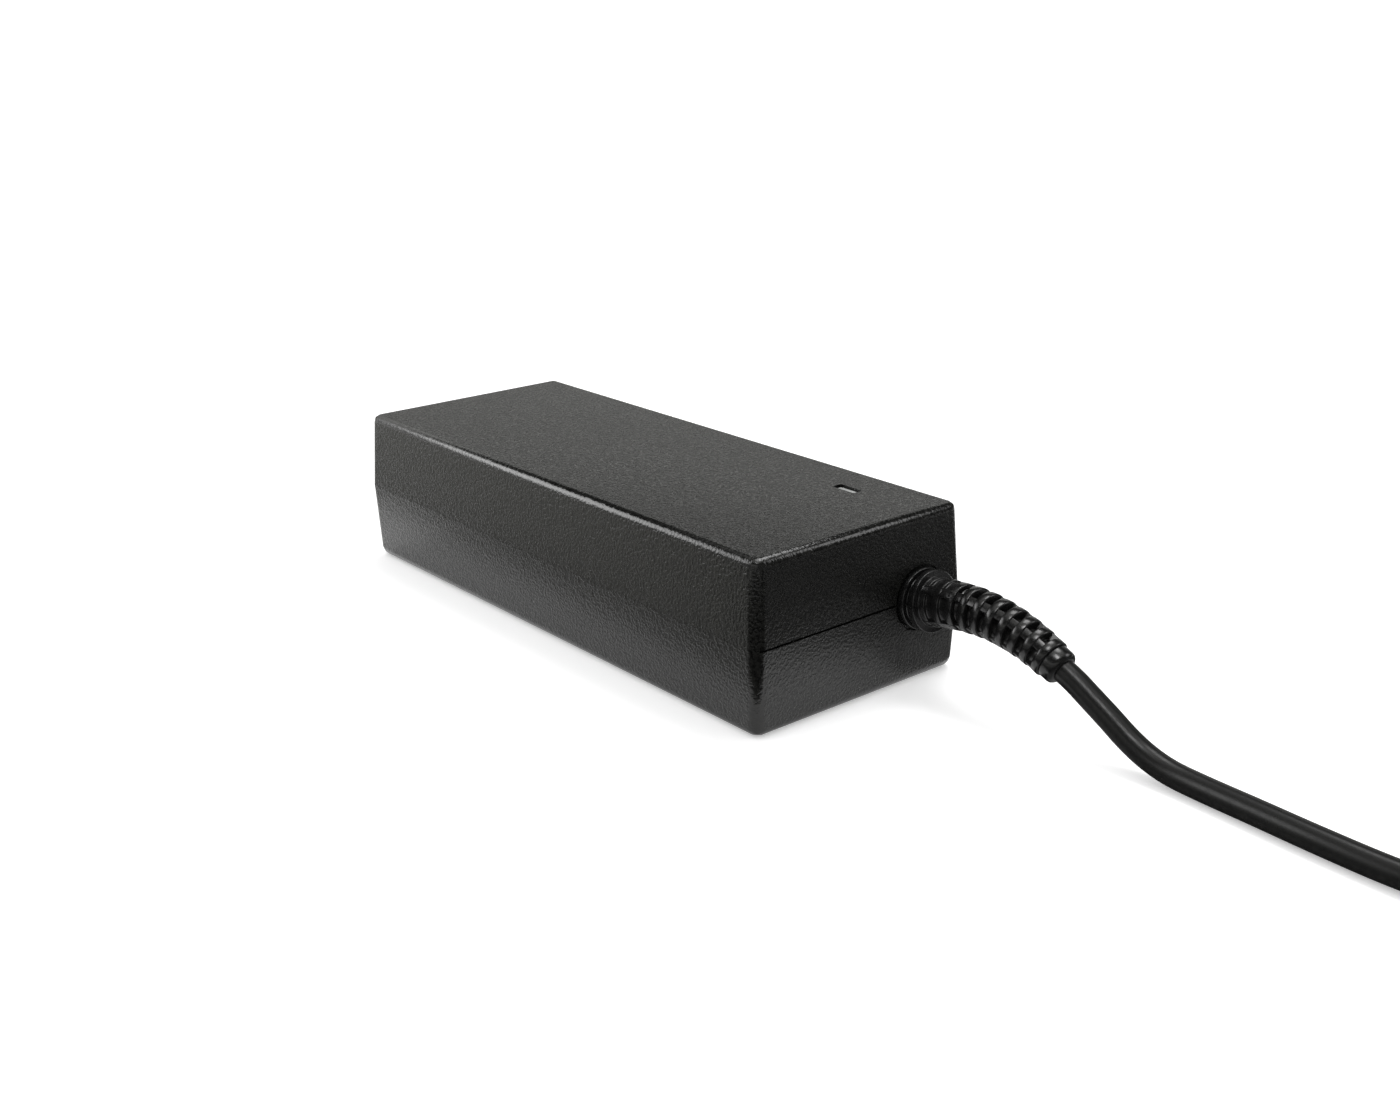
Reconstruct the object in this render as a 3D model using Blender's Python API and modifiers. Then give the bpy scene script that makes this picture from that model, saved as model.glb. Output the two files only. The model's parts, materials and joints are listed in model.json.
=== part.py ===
"""A laptop power adapter: welded two-shell housing, mains inlet, board, screens and output cord.

Lengths are in metres. +X points to the output end and +Z up. The origin lies under the middle of
the housing, on the surface that it stands on. The housing is built outwards from its board.
"""

import math

import bmesh
import bpy
from mathutils import Vector

# Fits
GAP = 0.0003  # between two pieces that seat on each other
OVERLAP = 0.0005  # how far a rib or leg runs into the body that it grows from
BEYOND = 0.005  # how far a cutter runs past the face that it opens

# Housing, of two drafted shells that meet in a lap joint
WALL = 0.002
SEAM_HEIGHT = 0.0164
UPPER_DRAFT = math.radians(3.08)
LOWER_DRAFT = math.radians(2.3)
CORNER_RADIUS = 0.0023
TOP_EDGE_RADIUS = 0.0016
CORNER_SEGMENTS = 5
BASE_EDGE_RADIUS = 0.0021
TONGUE_HEIGHT = 0.0012
SKIRT = 0.003  # a shell is made past the seam by this much, then trimmed flat

# Board and its bays, from the inlet to the output
BOARD_WIDTH = 0.0415
BOARD_THICKNESS = 0.0016
PRIMARY_BAY = 0.049
TRANSFORMER_BAY = 0.026
SECONDARY_BAY = 0.020
SOLDER_ROOM = 0.002
INLET_TO_BOARD = 0.001
OUTPUT_BAY = 0.008
POST_LENGTH = 0.0025
POST_WIDTH = 0.003
ISOLATION_SLOT = 0.0012

# Screens
SHIELD_THICKNESS = 0.0004
SHEET_THICKNESS = 0.0004
BEND_RADIUS = 0.0025
BEND_SEGMENTS = 4

# Mains inlet: three blades in a keyed cavity
CAVITY_WIDTH = 0.0245
CAVITY_HEIGHT = 0.0165
CAVITY_DEPTH = 0.0165
CAVITY_CHAMFER = 0.005
INLET_WALL = 0.002
INLET_BACK = 0.0025
INLET_FLANGE = 0.0015
INLET_RECESS = 0.0002  # the rim lies this far inside the end of the housing
BLADE_THICKNESS = 0.002
BLADE_WIDTH = 0.004
BLADE_PITCH = 0.014
BLADE_OFFSET = 0.002  # line and neutral below the middle, earth above it
BLADE_SETBACK = 0.004
BLADE_EDGE = 0.00025
BLADE_TAB = 0.0025
LEAD_DIAMETER = 0.0016
# An inlet lead's way from the blade to the board: the share of the run along, and of the drop
LEAD_WAY = ((0.0, 0.0), (0.1, 0.0), (0.83, 0.17), (1.0, 0.55), (1.0, 0.9), (1.0, 1.0))

# Parts on the board, primary side
FUSE_LENGTH = 0.011
FUSE_DIAMETER = 0.005
FUSE_CAP = 0.00275
FUSE_TUBE_DIAMETER = 0.0045
LEAD_LANE = 0.017
THERMISTOR_DIAMETER = 0.009
THERMISTOR_THICKNESS = 0.0045
X_CAPACITOR = Vector((0.013, 0.008, 0.014))
X_CAPACITOR_EDGE = 0.0005
FILTER_CORE_DIAMETER = 0.012
FILTER_CORE_BORE = 0.007
FILTER_CORE_HEIGHT = 0.006
FILTER_WINDING = 0.0012
FILTER_BARRIER = 0.002
BRIDGE = Vector((0.013, 0.004, 0.010))
BULK_DIAMETER = 0.015
BULK_LENGTH = 0.026
CRIMP_DEPTH = 0.0007
LEG_LENGTH = 0.003
LEG_WIDTH = 0.0008
HEATSINK_THICKNESS = 0.0015
PRIMARY_SINK_LENGTH = 0.013
PRIMARY_SINK_HEIGHT = 0.018
PACKAGE = Vector((0.010, 0.0045, 0.013))

# Transformer and the parts beside it
TRANSFORMER_LENGTH = 0.021
TRANSFORMER_WIDTH = 0.026
TRANSFORMER_HEIGHT = 0.018
HEADROOM = 0.0044  # air between the tallest part and the upper screen
CORE_DEPTH = 0.009
CORE_LEG = 0.003
CORE_YOKE = 0.004
CORE_CENTRE_LEG = 0.005
BOBBIN_WALL = 0.0008
BOBBIN_FLANGE = 0.001
Y_CAPACITOR_DIAMETER = 0.008
Y_CAPACITOR_THICKNESS = 0.004
OPTOCOUPLER = Vector((0.0065, 0.0046, 0.0035))
CONTROLLER = Vector((0.005, 0.004, 0.0015))
BARRIER_LANE = 0.006

# Parts on the board, secondary side
SECONDARY_SINK_LENGTH = 0.012
SECONDARY_SINK_HEIGHT = 0.017
OUTPUT_CAPACITOR_DIAMETER = 0.008
OUTPUT_CAPACITOR_HEIGHT = 0.013
CHOKE_DIAMETER = 0.009
CHOKE_HEIGHT = 0.010
CHOKE_FLANGE = 0.0015
CHOKE_NECK_DIAMETER = 0.006
CORNER_LANE = 0.011  # kept free for the output leads and the indicator

# Indicator in the top
SLOT_LENGTH = 0.005
SLOT_WIDTH = 0.00195
SLOT_CORNER = 0.0003
SLOT_FROM_END = 0.01965
SLOT_FROM_SIDE = 0.01065
WINDOW_RECESS = 0.0005
PIPE_FLANGE = 0.0008
PIPE_FLANGE_RIM = 0.001
PIPE_STEM = 0.0024
LED_DIAMETER = 0.003
LED_LENGTH = 0.005
LED_LEG_PITCH = 0.00127
LED_LEG_SPLAY = 1.4  # times the pitch, where the legs meet the board

# Strain relief: flanges, then ribs joined by four webs, tapering to a collar
RELIEF_FROM_SIDE = 0.0112
NECK_RADIUS = 0.0034
RING_RADIUS = 0.0057
RING_THICKNESS = 0.0015
RING_RECESS = 0.0008
RECESS_GAP = 0.0005
INNER_FLANGE_RADIUS = 0.0052
INNER_FLANGE = 0.0016
GROOVE = 0.001
GROOVE_RADIUS = 0.0048
SLEEVE_RADIUS = 0.0045
SLEEVE_LENGTH = 0.0073
SHALLOW_GROOVE = 0.0005
RIB_COUNT = 7
RIB_PITCH = 0.0028
RIB_THICKNESS = 0.0016
FIRST_RIB_RADIUS = 0.0042
LAST_RIB_RADIUS = 0.0035
RIB_CORE = 0.0012  # the core between the ribs stands this far over the cord's radius, less at the tip
WEB_THICKNESS = 0.0017
WEB_STEP = 0.0002  # the webs stay this far inside the ribs
COLLAR_LENGTH = 0.0028
COLLAR_RADIUS = 0.0032
RELIEF_SIDES = 24
RELIEF_BEND_POINTS = 40

# Output cord
CORD_DIAMETER = 0.0043
CORD_LIFT = 0.00005  # under a cord that lies on the floor
CORD_CORE_DIAMETER = 0.0034
CORD_CORE_LENGTH = 0.0025
OUTPUT_LEAD_DIAMETER = 0.0014
OUTPUT_LEAD_PITCH = 0.002
# An output lead's way from the cord to the board: the share of the run along, of the spread from
# the cord's pitch to the board's, and of the drop
OUTPUT_LEAD_WAY = (
    (0.0, 0.0, 0.0), (0.15, 0.0, 0.0), (0.6, 0.375, 0.2), (0.93, 0.875, 0.6), (1.0, 1.0, 0.9),
    (1.0, 1.0, 1.0),
)
OUTPUT_LEAD_SPREAD = 0.0008  # outwards, from the cord's pitch to the board's
# The route from the end of the housing: distance out, distance sideways, and height, where 0 is
# a cord that lies on the floor and 1 is the height of the exit
CORD_ROUTE = (
    (-0.0060, 0.0000, 1.000),
    (-0.0030, 0.0000, 1.000),
    (0.0000, 0.0000, 1.000),
    (0.0028, 0.0000, 1.012),
    (0.0058, 0.0000, 1.042),
    (0.0092, 0.0000, 1.075),
    (0.0138, 0.0000, 1.092),
    (0.0183, 0.0000, 1.070),
    (0.0227, 0.0000, 1.008),
    (0.0271, 0.0000, 0.905),
    (0.0304, 0.0000, 0.803),
    (0.0346, 0.0000, 0.669),
    (0.0378, 0.0000, 0.542),
    (0.0420, 0.0000, 0.373),
    (0.0456, 0.0000, 0.222),
    (0.0495, 0.0000, 0.098),
    (0.0540, -0.0001, 0.022),
    (0.0600, -0.0003, 0.000),
    (0.0700, -0.0008, 0.000),
    (0.0810, -0.0014, 0.000),
    (0.0920, -0.0016, 0.000),
    (0.1030, -0.0012, 0.000),
    (0.1140, -0.0006, 0.000),
    (0.1240, -0.0001, 0.000),
    (0.1320, 0.0000, 0.000),
    (0.1400, 0.0000, 0.000),
)
COIL_RADIUS = 0.0295  # to the middle of the outermost turn
COIL_FROM_END = 0.1445  # from the end of the housing to the middle of the coil
TURN_PITCH = 0.0048
LAYER_PITCH = 0.00475
COIL_LAYERS = 4
TURNS_A_LAYER = 2
POINTS_A_TURN = 24
CLIMB_TURNS = 0.5
TIE_THICKNESS = 0.0006
TIE_WIDTH = 0.007
TIE_ROOM = 0.0006
RISE_START = 0.0920  # from here on the cord rises to clear the tie's thickness, out from the end
RISE_LENGTH = 0.030
# The tail's route from the middle of the coil: along, across, and height, where 0 is the top
# layer and 1 is the plug that lies on it
TAIL_ROUTE = (
    (0.0050, 0.0295, 0.00),
    (0.0095, 0.0290, 0.07),
    (0.0140, 0.0272, 0.24),
    (0.0178, 0.0242, 0.50),
    (0.0204, 0.0206, 0.77),
    (0.0217, 0.0166, 0.95),
    (0.0220, 0.0125, 1.00),
    (0.0220, 0.0090, 1.00),
)

# Output plug
GRIP_RADIUS = 0.0051
GRIP_LENGTH = 0.020
GRIP_TAPER = 0.010
GRIP_TIP_RADIUS = 0.0029
GRIP_GROOVES = 4
GRIP_GROOVE_PITCH = 0.0025
GRIP_GROOVE_DEPTH = 0.0005
BARREL_RADIUS = 0.00275
BARREL_WALL = 0.0004
BARREL_LENGTH = 0.0095
BARREL_SEAT = 0.003
INSULATOR_WALL = 0.0002
CONTACT_WALL = 0.0003
PLUG_STEP = 0.0004  # the insulator and contact end this far inside the barrel's mouth

# Worked out from the above
BOARD_LENGTH = PRIMARY_BAY + TRANSFORMER_BAY + SECONDARY_BAY
INLET_LENGTH = CAVITY_DEPTH + INLET_BACK
INLET_DEPTH = INLET_RECESS + INLET_LENGTH + BLADE_TAB + GAP
CASE_LENGTH = INLET_DEPTH + INLET_TO_BOARD + BOARD_LENGTH + OUTPUT_BAY + WALL
BOARD_BASE = WALL + GAP + SHIELD_THICKNESS + GAP + SHEET_THICKNESS + SOLDER_ROOM
BOARD_TOP = BOARD_BASE + BOARD_THICKNESS
SEAT = BOARD_TOP + GAP
CEILING = BOARD_TOP + TRANSFORMER_HEIGHT + HEADROOM + SHIELD_THICKNESS + GAP
CASE_HEIGHT = CEILING + WALL
UPPER_LEAN = (CASE_HEIGHT - SEAM_HEIGHT) * math.tan(UPPER_DRAFT)
SIDE_ROOM = GAP + SHEET_THICKNESS + GAP + SHIELD_THICKNESS + GAP
CASE_WIDTH = BOARD_WIDTH + 2 * (SIDE_ROOM + UPPER_LEAN + WALL)
HALF_LENGTH = CASE_LENGTH / 2
HALF_WIDTH = CASE_WIDTH / 2
BOARD_START = -HALF_LENGTH + INLET_DEPTH + INLET_TO_BOARD
BOARD_END = BOARD_START + BOARD_LENGTH
HALF_BOARD = BOARD_WIDTH / 2
INLET_FACE = -HALF_LENGTH + INLET_RECESS
RELIEF_SIDE = HALF_WIDTH - RELIEF_FROM_SIDE
CORD_RADIUS = CORD_DIAMETER / 2
CORD_FLOOR = CORD_RADIUS + CORD_LIFT
COIL_FLOOR = CORD_RADIUS + TIE_THICKNESS + GAP

for old in list(bpy.data.objects):
    bpy.data.objects.remove(old, do_unlink=True)
parts = bpy.data.collections.new("laptop power adapter")
guides = bpy.data.collections.new("cutters and guides")
guides.hide_render = True
bpy.context.scene.collection.children.link(parts)
bpy.context.scene.collection.children.link(guides)
origin = bpy.data.objects.new("adapter_origin", None)
parts.objects.link(origin)


def finish(name, colour, roughness, metallic=0.0, alpha=1.0):
    """A plain finish by name."""
    made = bpy.data.materials.new(name)
    made.use_nodes = True
    shader = made.node_tree.nodes["Principled BSDF"]
    shader.inputs["Base Color"].default_value = (*colour, 1.0)
    shader.inputs["Roughness"].default_value = roughness
    shader.inputs["Metallic"].default_value = metallic
    shader.inputs["Alpha"].default_value = alpha
    return made


HOUSING = finish("moulded housing", (0.022, 0.022, 0.021), 0.45)
LENS = finish("window plastic", (0.62, 0.64, 0.62), 0.25, alpha=0.8)
SOFT_BLACK = finish("cord jacket", (0.012, 0.012, 0.012), 0.5)
INLET_BLACK = finish("inlet moulding", (0.016, 0.016, 0.016), 0.5)
NICKEL = finish("nickel plate", (0.62, 0.60, 0.56), 0.3, 1.0)
LAMINATE = finish("board laminate", (0.22, 0.25, 0.10), 0.6)
FERRITE = finish("ferrite", (0.05, 0.05, 0.055), 0.6)
ENAMEL = finish("enamelled wire", (0.45, 0.17, 0.06), 0.35)
TAPE = finish("winding tape", (0.75, 0.55, 0.08), 0.4)
SLEEVE = finish("capacitor sleeve", (0.04, 0.05, 0.09), 0.35)
FILM = finish("film capacitor case", (0.72, 0.55, 0.08), 0.45)
DISC = finish("disc coating", (0.10, 0.28, 0.42), 0.45)
EPOXY = finish("package resin", (0.02, 0.02, 0.02), 0.5)
ALUMINIUM = finish("aluminium sheet", (0.70, 0.70, 0.71), 0.35, 1.0)
COPPER = finish("copper screen", (0.72, 0.40, 0.25), 0.35, 1.0)
SHEET = finish("insulating sheet", (0.78, 0.78, 0.74), 0.6)
GLASS = finish("fuse glass", (0.75, 0.78, 0.76), 0.1, alpha=0.6)
RED_WIRE = finish("positive lead", (0.50, 0.02, 0.02), 0.45)
BROWN_WIRE = finish("line lead", (0.22, 0.09, 0.03), 0.45)
BLUE_WIRE = finish("neutral lead", (0.03, 0.10, 0.40), 0.45)
GREEN_WIRE = finish("earth lead", (0.25, 0.42, 0.04), 0.45)
LED_RESIN = finish("indicator resin", (0.45, 0.70, 0.45), 0.25, alpha=0.9)
STRAP = finish("tie strap", (0.02, 0.02, 0.02), 0.85)


def taper(first, last, share):
    return first + (last - first) * share


def place(name, data, at, material):
    """An object in the adapter, or among its guides if it has no material."""
    made = bpy.data.objects.new(name, data)
    made.location = at
    if material is None:
        guides.objects.link(made)
        made.hide_render = True
        made.display_type = "WIRE"
        return made
    parts.objects.link(made)
    made.parent = origin
    data.materials.append(material)
    return made


def mesh_from(name, shape, at, material):
    """The object of a bmesh, which is used up."""
    data = bpy.data.meshes.new(name)
    shape.to_mesh(data)
    shape.free()
    return place(name, data, at, material)


def block(name, low, high, material=None):
    """A box between two opposite corners."""
    low, high = Vector(low), Vector(high)
    shape = bmesh.new()
    bmesh.ops.create_cube(shape, size=1.0)
    bmesh.ops.scale(shape, vec=high - low, verts=shape.verts)
    return mesh_from(name, shape, (low + high) / 2, material)


def standing(name, middle, size, material=None, base=SEAT):
    """A box of a size that stands on a base height, its middle over a point of the board."""
    x, y = middle
    low = (x - size.x / 2, y - size.y / 2, base)
    return block(name, low, (x + size.x / 2, y + size.y / 2, base + size.z), material)


def turned(name, profile, axis, at, material=None, sides=20):
    """A solid of revolution. The profile holds (radius, distance along the axis), from the far
    end down the outer side; a bored piece goes on up its bore and closes on its first point."""
    shape = bmesh.new()
    corners = []
    for radius, along in profile:
        point = {"X": (along, radius, 0), "Y": (0, along, radius), "Z": (radius, 0, along)}[axis]
        corners.append(shape.verts.new(point))
    for first, second in zip(corners, corners[1:]):
        shape.edges.new((first, second))
    if profile[0][0] > 0:
        shape.edges.new((corners[-1], corners[0]))
    made = mesh_from(name, shape, at, material)
    screw = made.modifiers.new("turn", "SCREW")
    screw.axis = axis
    screw.steps = screw.render_steps = sides
    screw.use_merge_vertices = True
    screw.merge_threshold = 0.00001
    screw.use_smooth_shade = True
    return made


def bevelled(made, width, segments=2, limit="ANGLE"):
    bevel = made.modifiers.new("edges", "BEVEL")
    bevel.width = width
    bevel.segments = segments
    bevel.limit_method = limit
    return made


def weigh(made, rule):
    """Bevel weights by a rule that reads an edge's two ends."""
    shape = bmesh.new()
    shape.from_mesh(made.data)
    layer = shape.edges.layers.float.new("bevel_weight_edge")
    for edge in shape.edges:
        edge[layer] = rule(edge.verts[0].co, edge.verts[1].co)
    shape.to_mesh(made.data)
    shape.free()


def combine(made, other, operation):
    boolean = made.modifiers.new(other.name, "BOOLEAN")
    boolean.operation = operation
    boolean.object = other
    return made


def cut(made, *cutters):
    for cutter in cutters:
        combine(made, cutter, "DIFFERENCE")
    return made


def grow(made, *additions):
    for addition in additions:
        combine(made, addition, "UNION")
    return made


def spread(start, room, lengths):
    """The middles of pieces laid in a row, with equal spaces between them and at both ends."""
    space = (room - sum(lengths)) / (len(lengths) + 1)
    middles = []
    for length in lengths:
        middles.append(start + space + length / 2)
        start += space + length
    return middles


def smooth(points, step):
    """Points about a step apart on a smooth curve through the given ones."""
    points = [Vector(p) for p in points]
    ends = [2 * points[0] - points[1], *points, 2 * points[-1] - points[-2]]
    line = [points[0]]
    for before, first, second, after in zip(ends, ends[1:], ends[2:], ends[3:]):
        count = max(1, round((second - first).length / step))
        for i in range(1, count + 1):
            t = i / count
            line.append(
                0.5
                * (
                    2 * first
                    + (second - before) * t
                    + (2 * before - 5 * first + 4 * second - after) * t**2
                    + (3 * first - before - 3 * second + after) * t**3
                )
            )
    return line


def stretch(line, start, end, count):
    """Evenly spaced points of a line, between two distances along it."""
    travelled = [0.0]
    for first, second in zip(line, line[1:]):
        travelled.append(travelled[-1] + (second - first).length)
    found, i = [], 0
    for k in range(count + 1):
        want = start + (end - start) * k / count
        while i < len(line) - 2 and travelled[i + 1] < want:
            i += 1
        share = (want - travelled[i]) / (travelled[i + 1] - travelled[i])
        found.append(line[i].lerp(line[i + 1], share))
    return found


def length_of(line):
    return sum((b - a).length for a, b in zip(line, line[1:]))


def curve_of(name, points, material, radius=0.0, resolution=2):
    """A polyline curve, a tube if it has a radius."""
    data = bpy.data.curves.new(name, "CURVE")
    data.dimensions = "3D"
    data.twist_mode = "Z_UP"
    data.bevel_depth = radius
    data.bevel_resolution = resolution
    data.use_fill_caps = radius > 0
    spline = data.splines.new("POLY")
    spline.points.add(len(points) - 1)
    for point, place_at in zip(spline.points, points):
        point.co = (*place_at, 1.0)
    return place(name, data, (0, 0, 0), material)


# Housing shells


def shell(name, direction, height, draft, end_radius):
    """One drafted half of the housing, open at the seam: a cage, given its wall and its radii."""
    shape = bmesh.new()
    bmesh.ops.create_cube(shape, size=2.0)
    for vert in shape.verts:
        level = height if vert.co.z * direction > 0 else -SKIRT
        lean = level * math.tan(draft)
        vert.co.x *= HALF_LENGTH - lean
        vert.co.y *= HALF_WIDTH - lean
        vert.co.z = direction * level
    seam_side = min(shape.faces, key=lambda face: direction * face.calc_center_median().z)
    bmesh.ops.delete(shape, geom=[seam_side], context="FACES_ONLY")
    made = mesh_from(name, shape, (0, 0, SEAM_HEIGHT), HOUSING)

    def rule(first, second):
        if abs(first.z - second.z) > SKIRT:
            return 1.0
        return end_radius / CORNER_RADIUS if first.z * direction > 0 else 0.0

    weigh(made, rule)
    wall = made.modifiers.new("wall", "SOLIDIFY")
    wall.thickness = WALL
    wall.offset = -1.0
    wall.use_even_offset = True
    return bevelled(made, CORNER_RADIUS, segments=CORNER_SEGMENTS, limit="WEIGHT")


def lap_block(name, clearance, low, high):
    """A block with the outline of the lap joint, halfway through the wall."""
    x, y = (half - WALL / 2 + clearance for half in (HALF_LENGTH, HALF_WIDTH))
    made = block(name, (-x, -y, low), (x, y, high))
    weigh(made, lambda first, second: 1.0 if abs(first.z - second.z) > 0 else 0.0)
    radius = CORNER_RADIUS - WALL / 2 + clearance
    return bevelled(made, radius, segments=CORNER_SEGMENTS, limit="WEIGHT")


def slab(name, low, high):
    """A slab wider than the housing, between two heights."""
    x, y = HALF_LENGTH + BEYOND, HALF_WIDTH + BEYOND
    return block(name, (-x, -y, low), (x, y, high))


def inlet_section(name, low, high, grown, width, height, material=None):
    """A bar along X with the inlet's keyed section, its two upper corners cut off."""
    y, z = width / 2 + grown, height / 2 + grown
    made = block(
        name, (low, -y, SEAM_HEIGHT - z), (high, y, SEAM_HEIGHT + z), material
    )

    def rule(first, second):
        return 1.0 if first.z > 0 and second.z > 0 and abs(first.x - second.x) > 0 else 0.0

    weigh(made, rule)
    return bevelled(made, CAVITY_CHAMFER, segments=1, limit="WEIGHT")


OUTER_WIDTH = CAVITY_WIDTH + 2 * INLET_WALL
OUTER_HEIGHT = CAVITY_HEIGHT + 2 * INLET_WALL
# The end walls lean in, so what seats behind them stands back by the lean over its own height
FLANGE_LEAN = (OUTER_HEIGHT / 2 + INLET_FLANGE) * math.tan(max(UPPER_DRAFT, LOWER_DRAFT))
FLANGE_X = -HALF_LENGTH + WALL + FLANGE_LEAN + GAP
CRADLE_X = FLANGE_X + INLET_FLANGE + GAP
CRADLE_HALF = OUTER_WIDTH / 3


def posts(name, low, high):
    """The four posts that hold the board's corners, from a wall to near the board."""
    made = []
    for x in (BOARD_START + POST_LENGTH / 2, BOARD_END - POST_LENGTH / 2):
        for y in (HALF_BOARD - POST_WIDTH / 2, POST_WIDTH / 2 - HALF_BOARD):
            size = Vector((POST_LENGTH, POST_WIDTH, high - low))
            made.append(standing(f"{name}_post_{len(made) + 1}", (x, y), size, base=low))
    return made


def cradle(name, low, high):
    """The rib that stops the inlet's flange and carries the inlet's body."""
    return block(
        f"{name}_cradle", (CRADLE_X, -CRADLE_HALF, low), (CRADLE_X + WALL, CRADLE_HALF, high)
    )


inlet_passage = inlet_section(
    "inlet_passage", -HALF_LENGTH - BEYOND, CRADLE_X + WALL + BEYOND, GAP,
    OUTER_WIDTH, OUTER_HEIGHT,
)
relief_at = (HALF_LENGTH, RELIEF_SIDE, SEAM_HEIGHT)
RELIEF_LEAN = INNER_FLANGE_RADIUS * math.tan(max(UPPER_DRAFT, LOWER_DRAFT))
INNER_REACH = -WALL - RELIEF_LEAN - GAP - INNER_FLANGE  # from the end of the housing, inwards
relief_hole = turned(
    "relief_hole",
    [(0, BEYOND), (NECK_RADIUS + GAP, BEYOND), (NECK_RADIUS + GAP, -WALL - BEYOND),
     (0, -WALL - BEYOND)],
    "X", relief_at, sides=RELIEF_SIDES,
)
recess_radius = RING_RADIUS + RECESS_GAP
relief_recess = turned(
    "relief_recess",
    [(0, BEYOND), (recess_radius, BEYOND), (recess_radius, -RING_RECESS), (0, -RING_RECESS)],
    "X", relief_at, sides=RELIEF_SIDES,
)

lower_case = shell("lower_case", -1, SEAM_HEIGHT, LOWER_DRAFT, BASE_EDGE_RADIUS)
grow(lower_case, *posts("lower", WALL - OVERLAP, BOARD_BASE - GAP))
grow(lower_case, cradle("lower", WALL - OVERLAP, SEAM_HEIGHT - OUTER_HEIGHT / 3))
seam_rim = slab("seam_rim", SEAM_HEIGHT - GAP / 2, SEAM_HEIGHT + BEYOND)
cut(seam_rim, lap_block("tongue_outline", 0, SEAM_HEIGHT - BEYOND, SEAM_HEIGHT + 2 * BEYOND))
tongue_trim = slab("tongue_trim", SEAM_HEIGHT + TONGUE_HEIGHT, SEAM_HEIGHT + BEYOND)
cut(lower_case, tongue_trim, seam_rim, inlet_passage, relief_hole, relief_recess)

upper_case = shell("upper_case", 1, CASE_HEIGHT - SEAM_HEIGHT, UPPER_DRAFT, TOP_EDGE_RADIUS)
grow(upper_case, *posts("upper", SEAT, CEILING + OVERLAP))
grow(upper_case, cradle("upper", SEAM_HEIGHT + OUTER_HEIGHT / 3, CEILING + OVERLAP))
slot_x = HALF_LENGTH - SLOT_FROM_END
slot_y = HALF_WIDTH - SLOT_FROM_SIDE
slot = standing(
    "indicator_slot", (slot_x, slot_y), Vector((SLOT_LENGTH, SLOT_WIDTH, WALL + 2 * BEYOND)),
    base=CEILING - BEYOND,
)
bevelled(slot, SLOT_CORNER)
upper_trim = slab("upper_trim", SEAM_HEIGHT - SKIRT - BEYOND, SEAM_HEIGHT + GAP / 2)
# The upper posts run down past the seam, so the seam is trimmed outside the joint's outline only
post_room = lap_block("post_room", -WALL, SEAM_HEIGHT - 2 * BEYOND, SEAM_HEIGHT + BEYOND)
cut(upper_trim, post_room)
rebate = lap_block("rebate", GAP, SEAM_HEIGHT - BEYOND, SEAM_HEIGHT + TONGUE_HEIGHT + GAP)
rebate_core = lap_block("rebate_core", -WALL, SEAM_HEIGHT - 2 * BEYOND, SEAM_HEIGHT + BEYOND)
cut(rebate, rebate_core)
cut(upper_case, upper_trim, rebate, slot, inlet_passage, relief_hole, relief_recess)

# Mains inlet

inlet = inlet_section(
    "inlet_housing", INLET_FACE, INLET_FACE + INLET_LENGTH, 0, OUTER_WIDTH, OUTER_HEIGHT,
    INLET_BLACK,
)
grow(inlet, inlet_section(
    "inlet_flange", FLANGE_X, FLANGE_X + INLET_FLANGE, INLET_FLANGE, OUTER_WIDTH, OUTER_HEIGHT,
))
cut(inlet, inlet_section(
    "inlet_cavity", INLET_FACE - BEYOND, INLET_FACE + CAVITY_DEPTH, 0,
    CAVITY_WIDTH, CAVITY_HEIGHT,
))
TAB_END = INLET_FACE + INLET_LENGTH + BLADE_TAB
LEAD_LANDING = BOARD_START + 0.5 * POST_LENGTH + LEAD_DIAMETER
for name, y, rise, colour in (
    ("line", BLADE_PITCH / 2, -BLADE_OFFSET, BROWN_WIRE),
    ("neutral", -BLADE_PITCH / 2, -BLADE_OFFSET, BLUE_WIRE),
    ("earth", 0.0, BLADE_OFFSET, GREEN_WIRE),
):
    z = SEAM_HEIGHT + rise
    half = Vector((0, BLADE_THICKNESS / 2, BLADE_WIDTH / 2))
    blade = block(
        f"{name}_blade", Vector((INLET_FACE + BLADE_SETBACK, y, z)) - half,
        Vector((TAB_END, y, z)) + half, NICKEL,
    )
    bevelled(blade, BLADE_EDGE)
    fit = half + Vector((0, GAP, GAP))
    cut(inlet, block(
        f"{name}_blade_hole", Vector((INLET_FACE + BLADE_SETBACK, y, z)) - fit,
        Vector((TAB_END, y, z)) + fit,
    ))
    drop = z - SEAT
    lead = smooth(
        [(taper(TAB_END + GAP, LEAD_LANDING, along), y, z - down * drop)
         for along, down in LEAD_WAY],
        LEAD_DIAMETER,
    )
    curve_of(f"{name}_lead", lead, colour, LEAD_DIAMETER / 2)

# Board, its insulating sheet and the two screens

board = block(
    "circuit_board", (BOARD_START, -HALF_BOARD, BOARD_BASE), (BOARD_END, HALF_BOARD, BOARD_TOP),
    LAMINATE,
)
BARRIER_X = BOARD_START + PRIMARY_BAY + TRANSFORMER_BAY / 2
lanes = spread(-HALF_BOARD, BOARD_WIDTH, (TRANSFORMER_WIDTH, BARRIER_LANE))
transformer_y, barrier_y = lanes
cut(board, standing(
    "isolation_slot", (BARRIER_X, barrier_y),
    Vector((ISOLATION_SLOT, BARRIER_LANE, BOARD_THICKNESS + 2 * BEYOND)),
    base=BOARD_BASE - BEYOND,
))
SCREEN_START = BOARD_START + POST_LENGTH + GAP
SCREEN_END = BOARD_END - POST_LENGTH - GAP
SCREEN_SPLIT = (BOARD_TOP + SEAM_HEIGHT) / 2  # where the lower and upper folded sides meet


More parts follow.
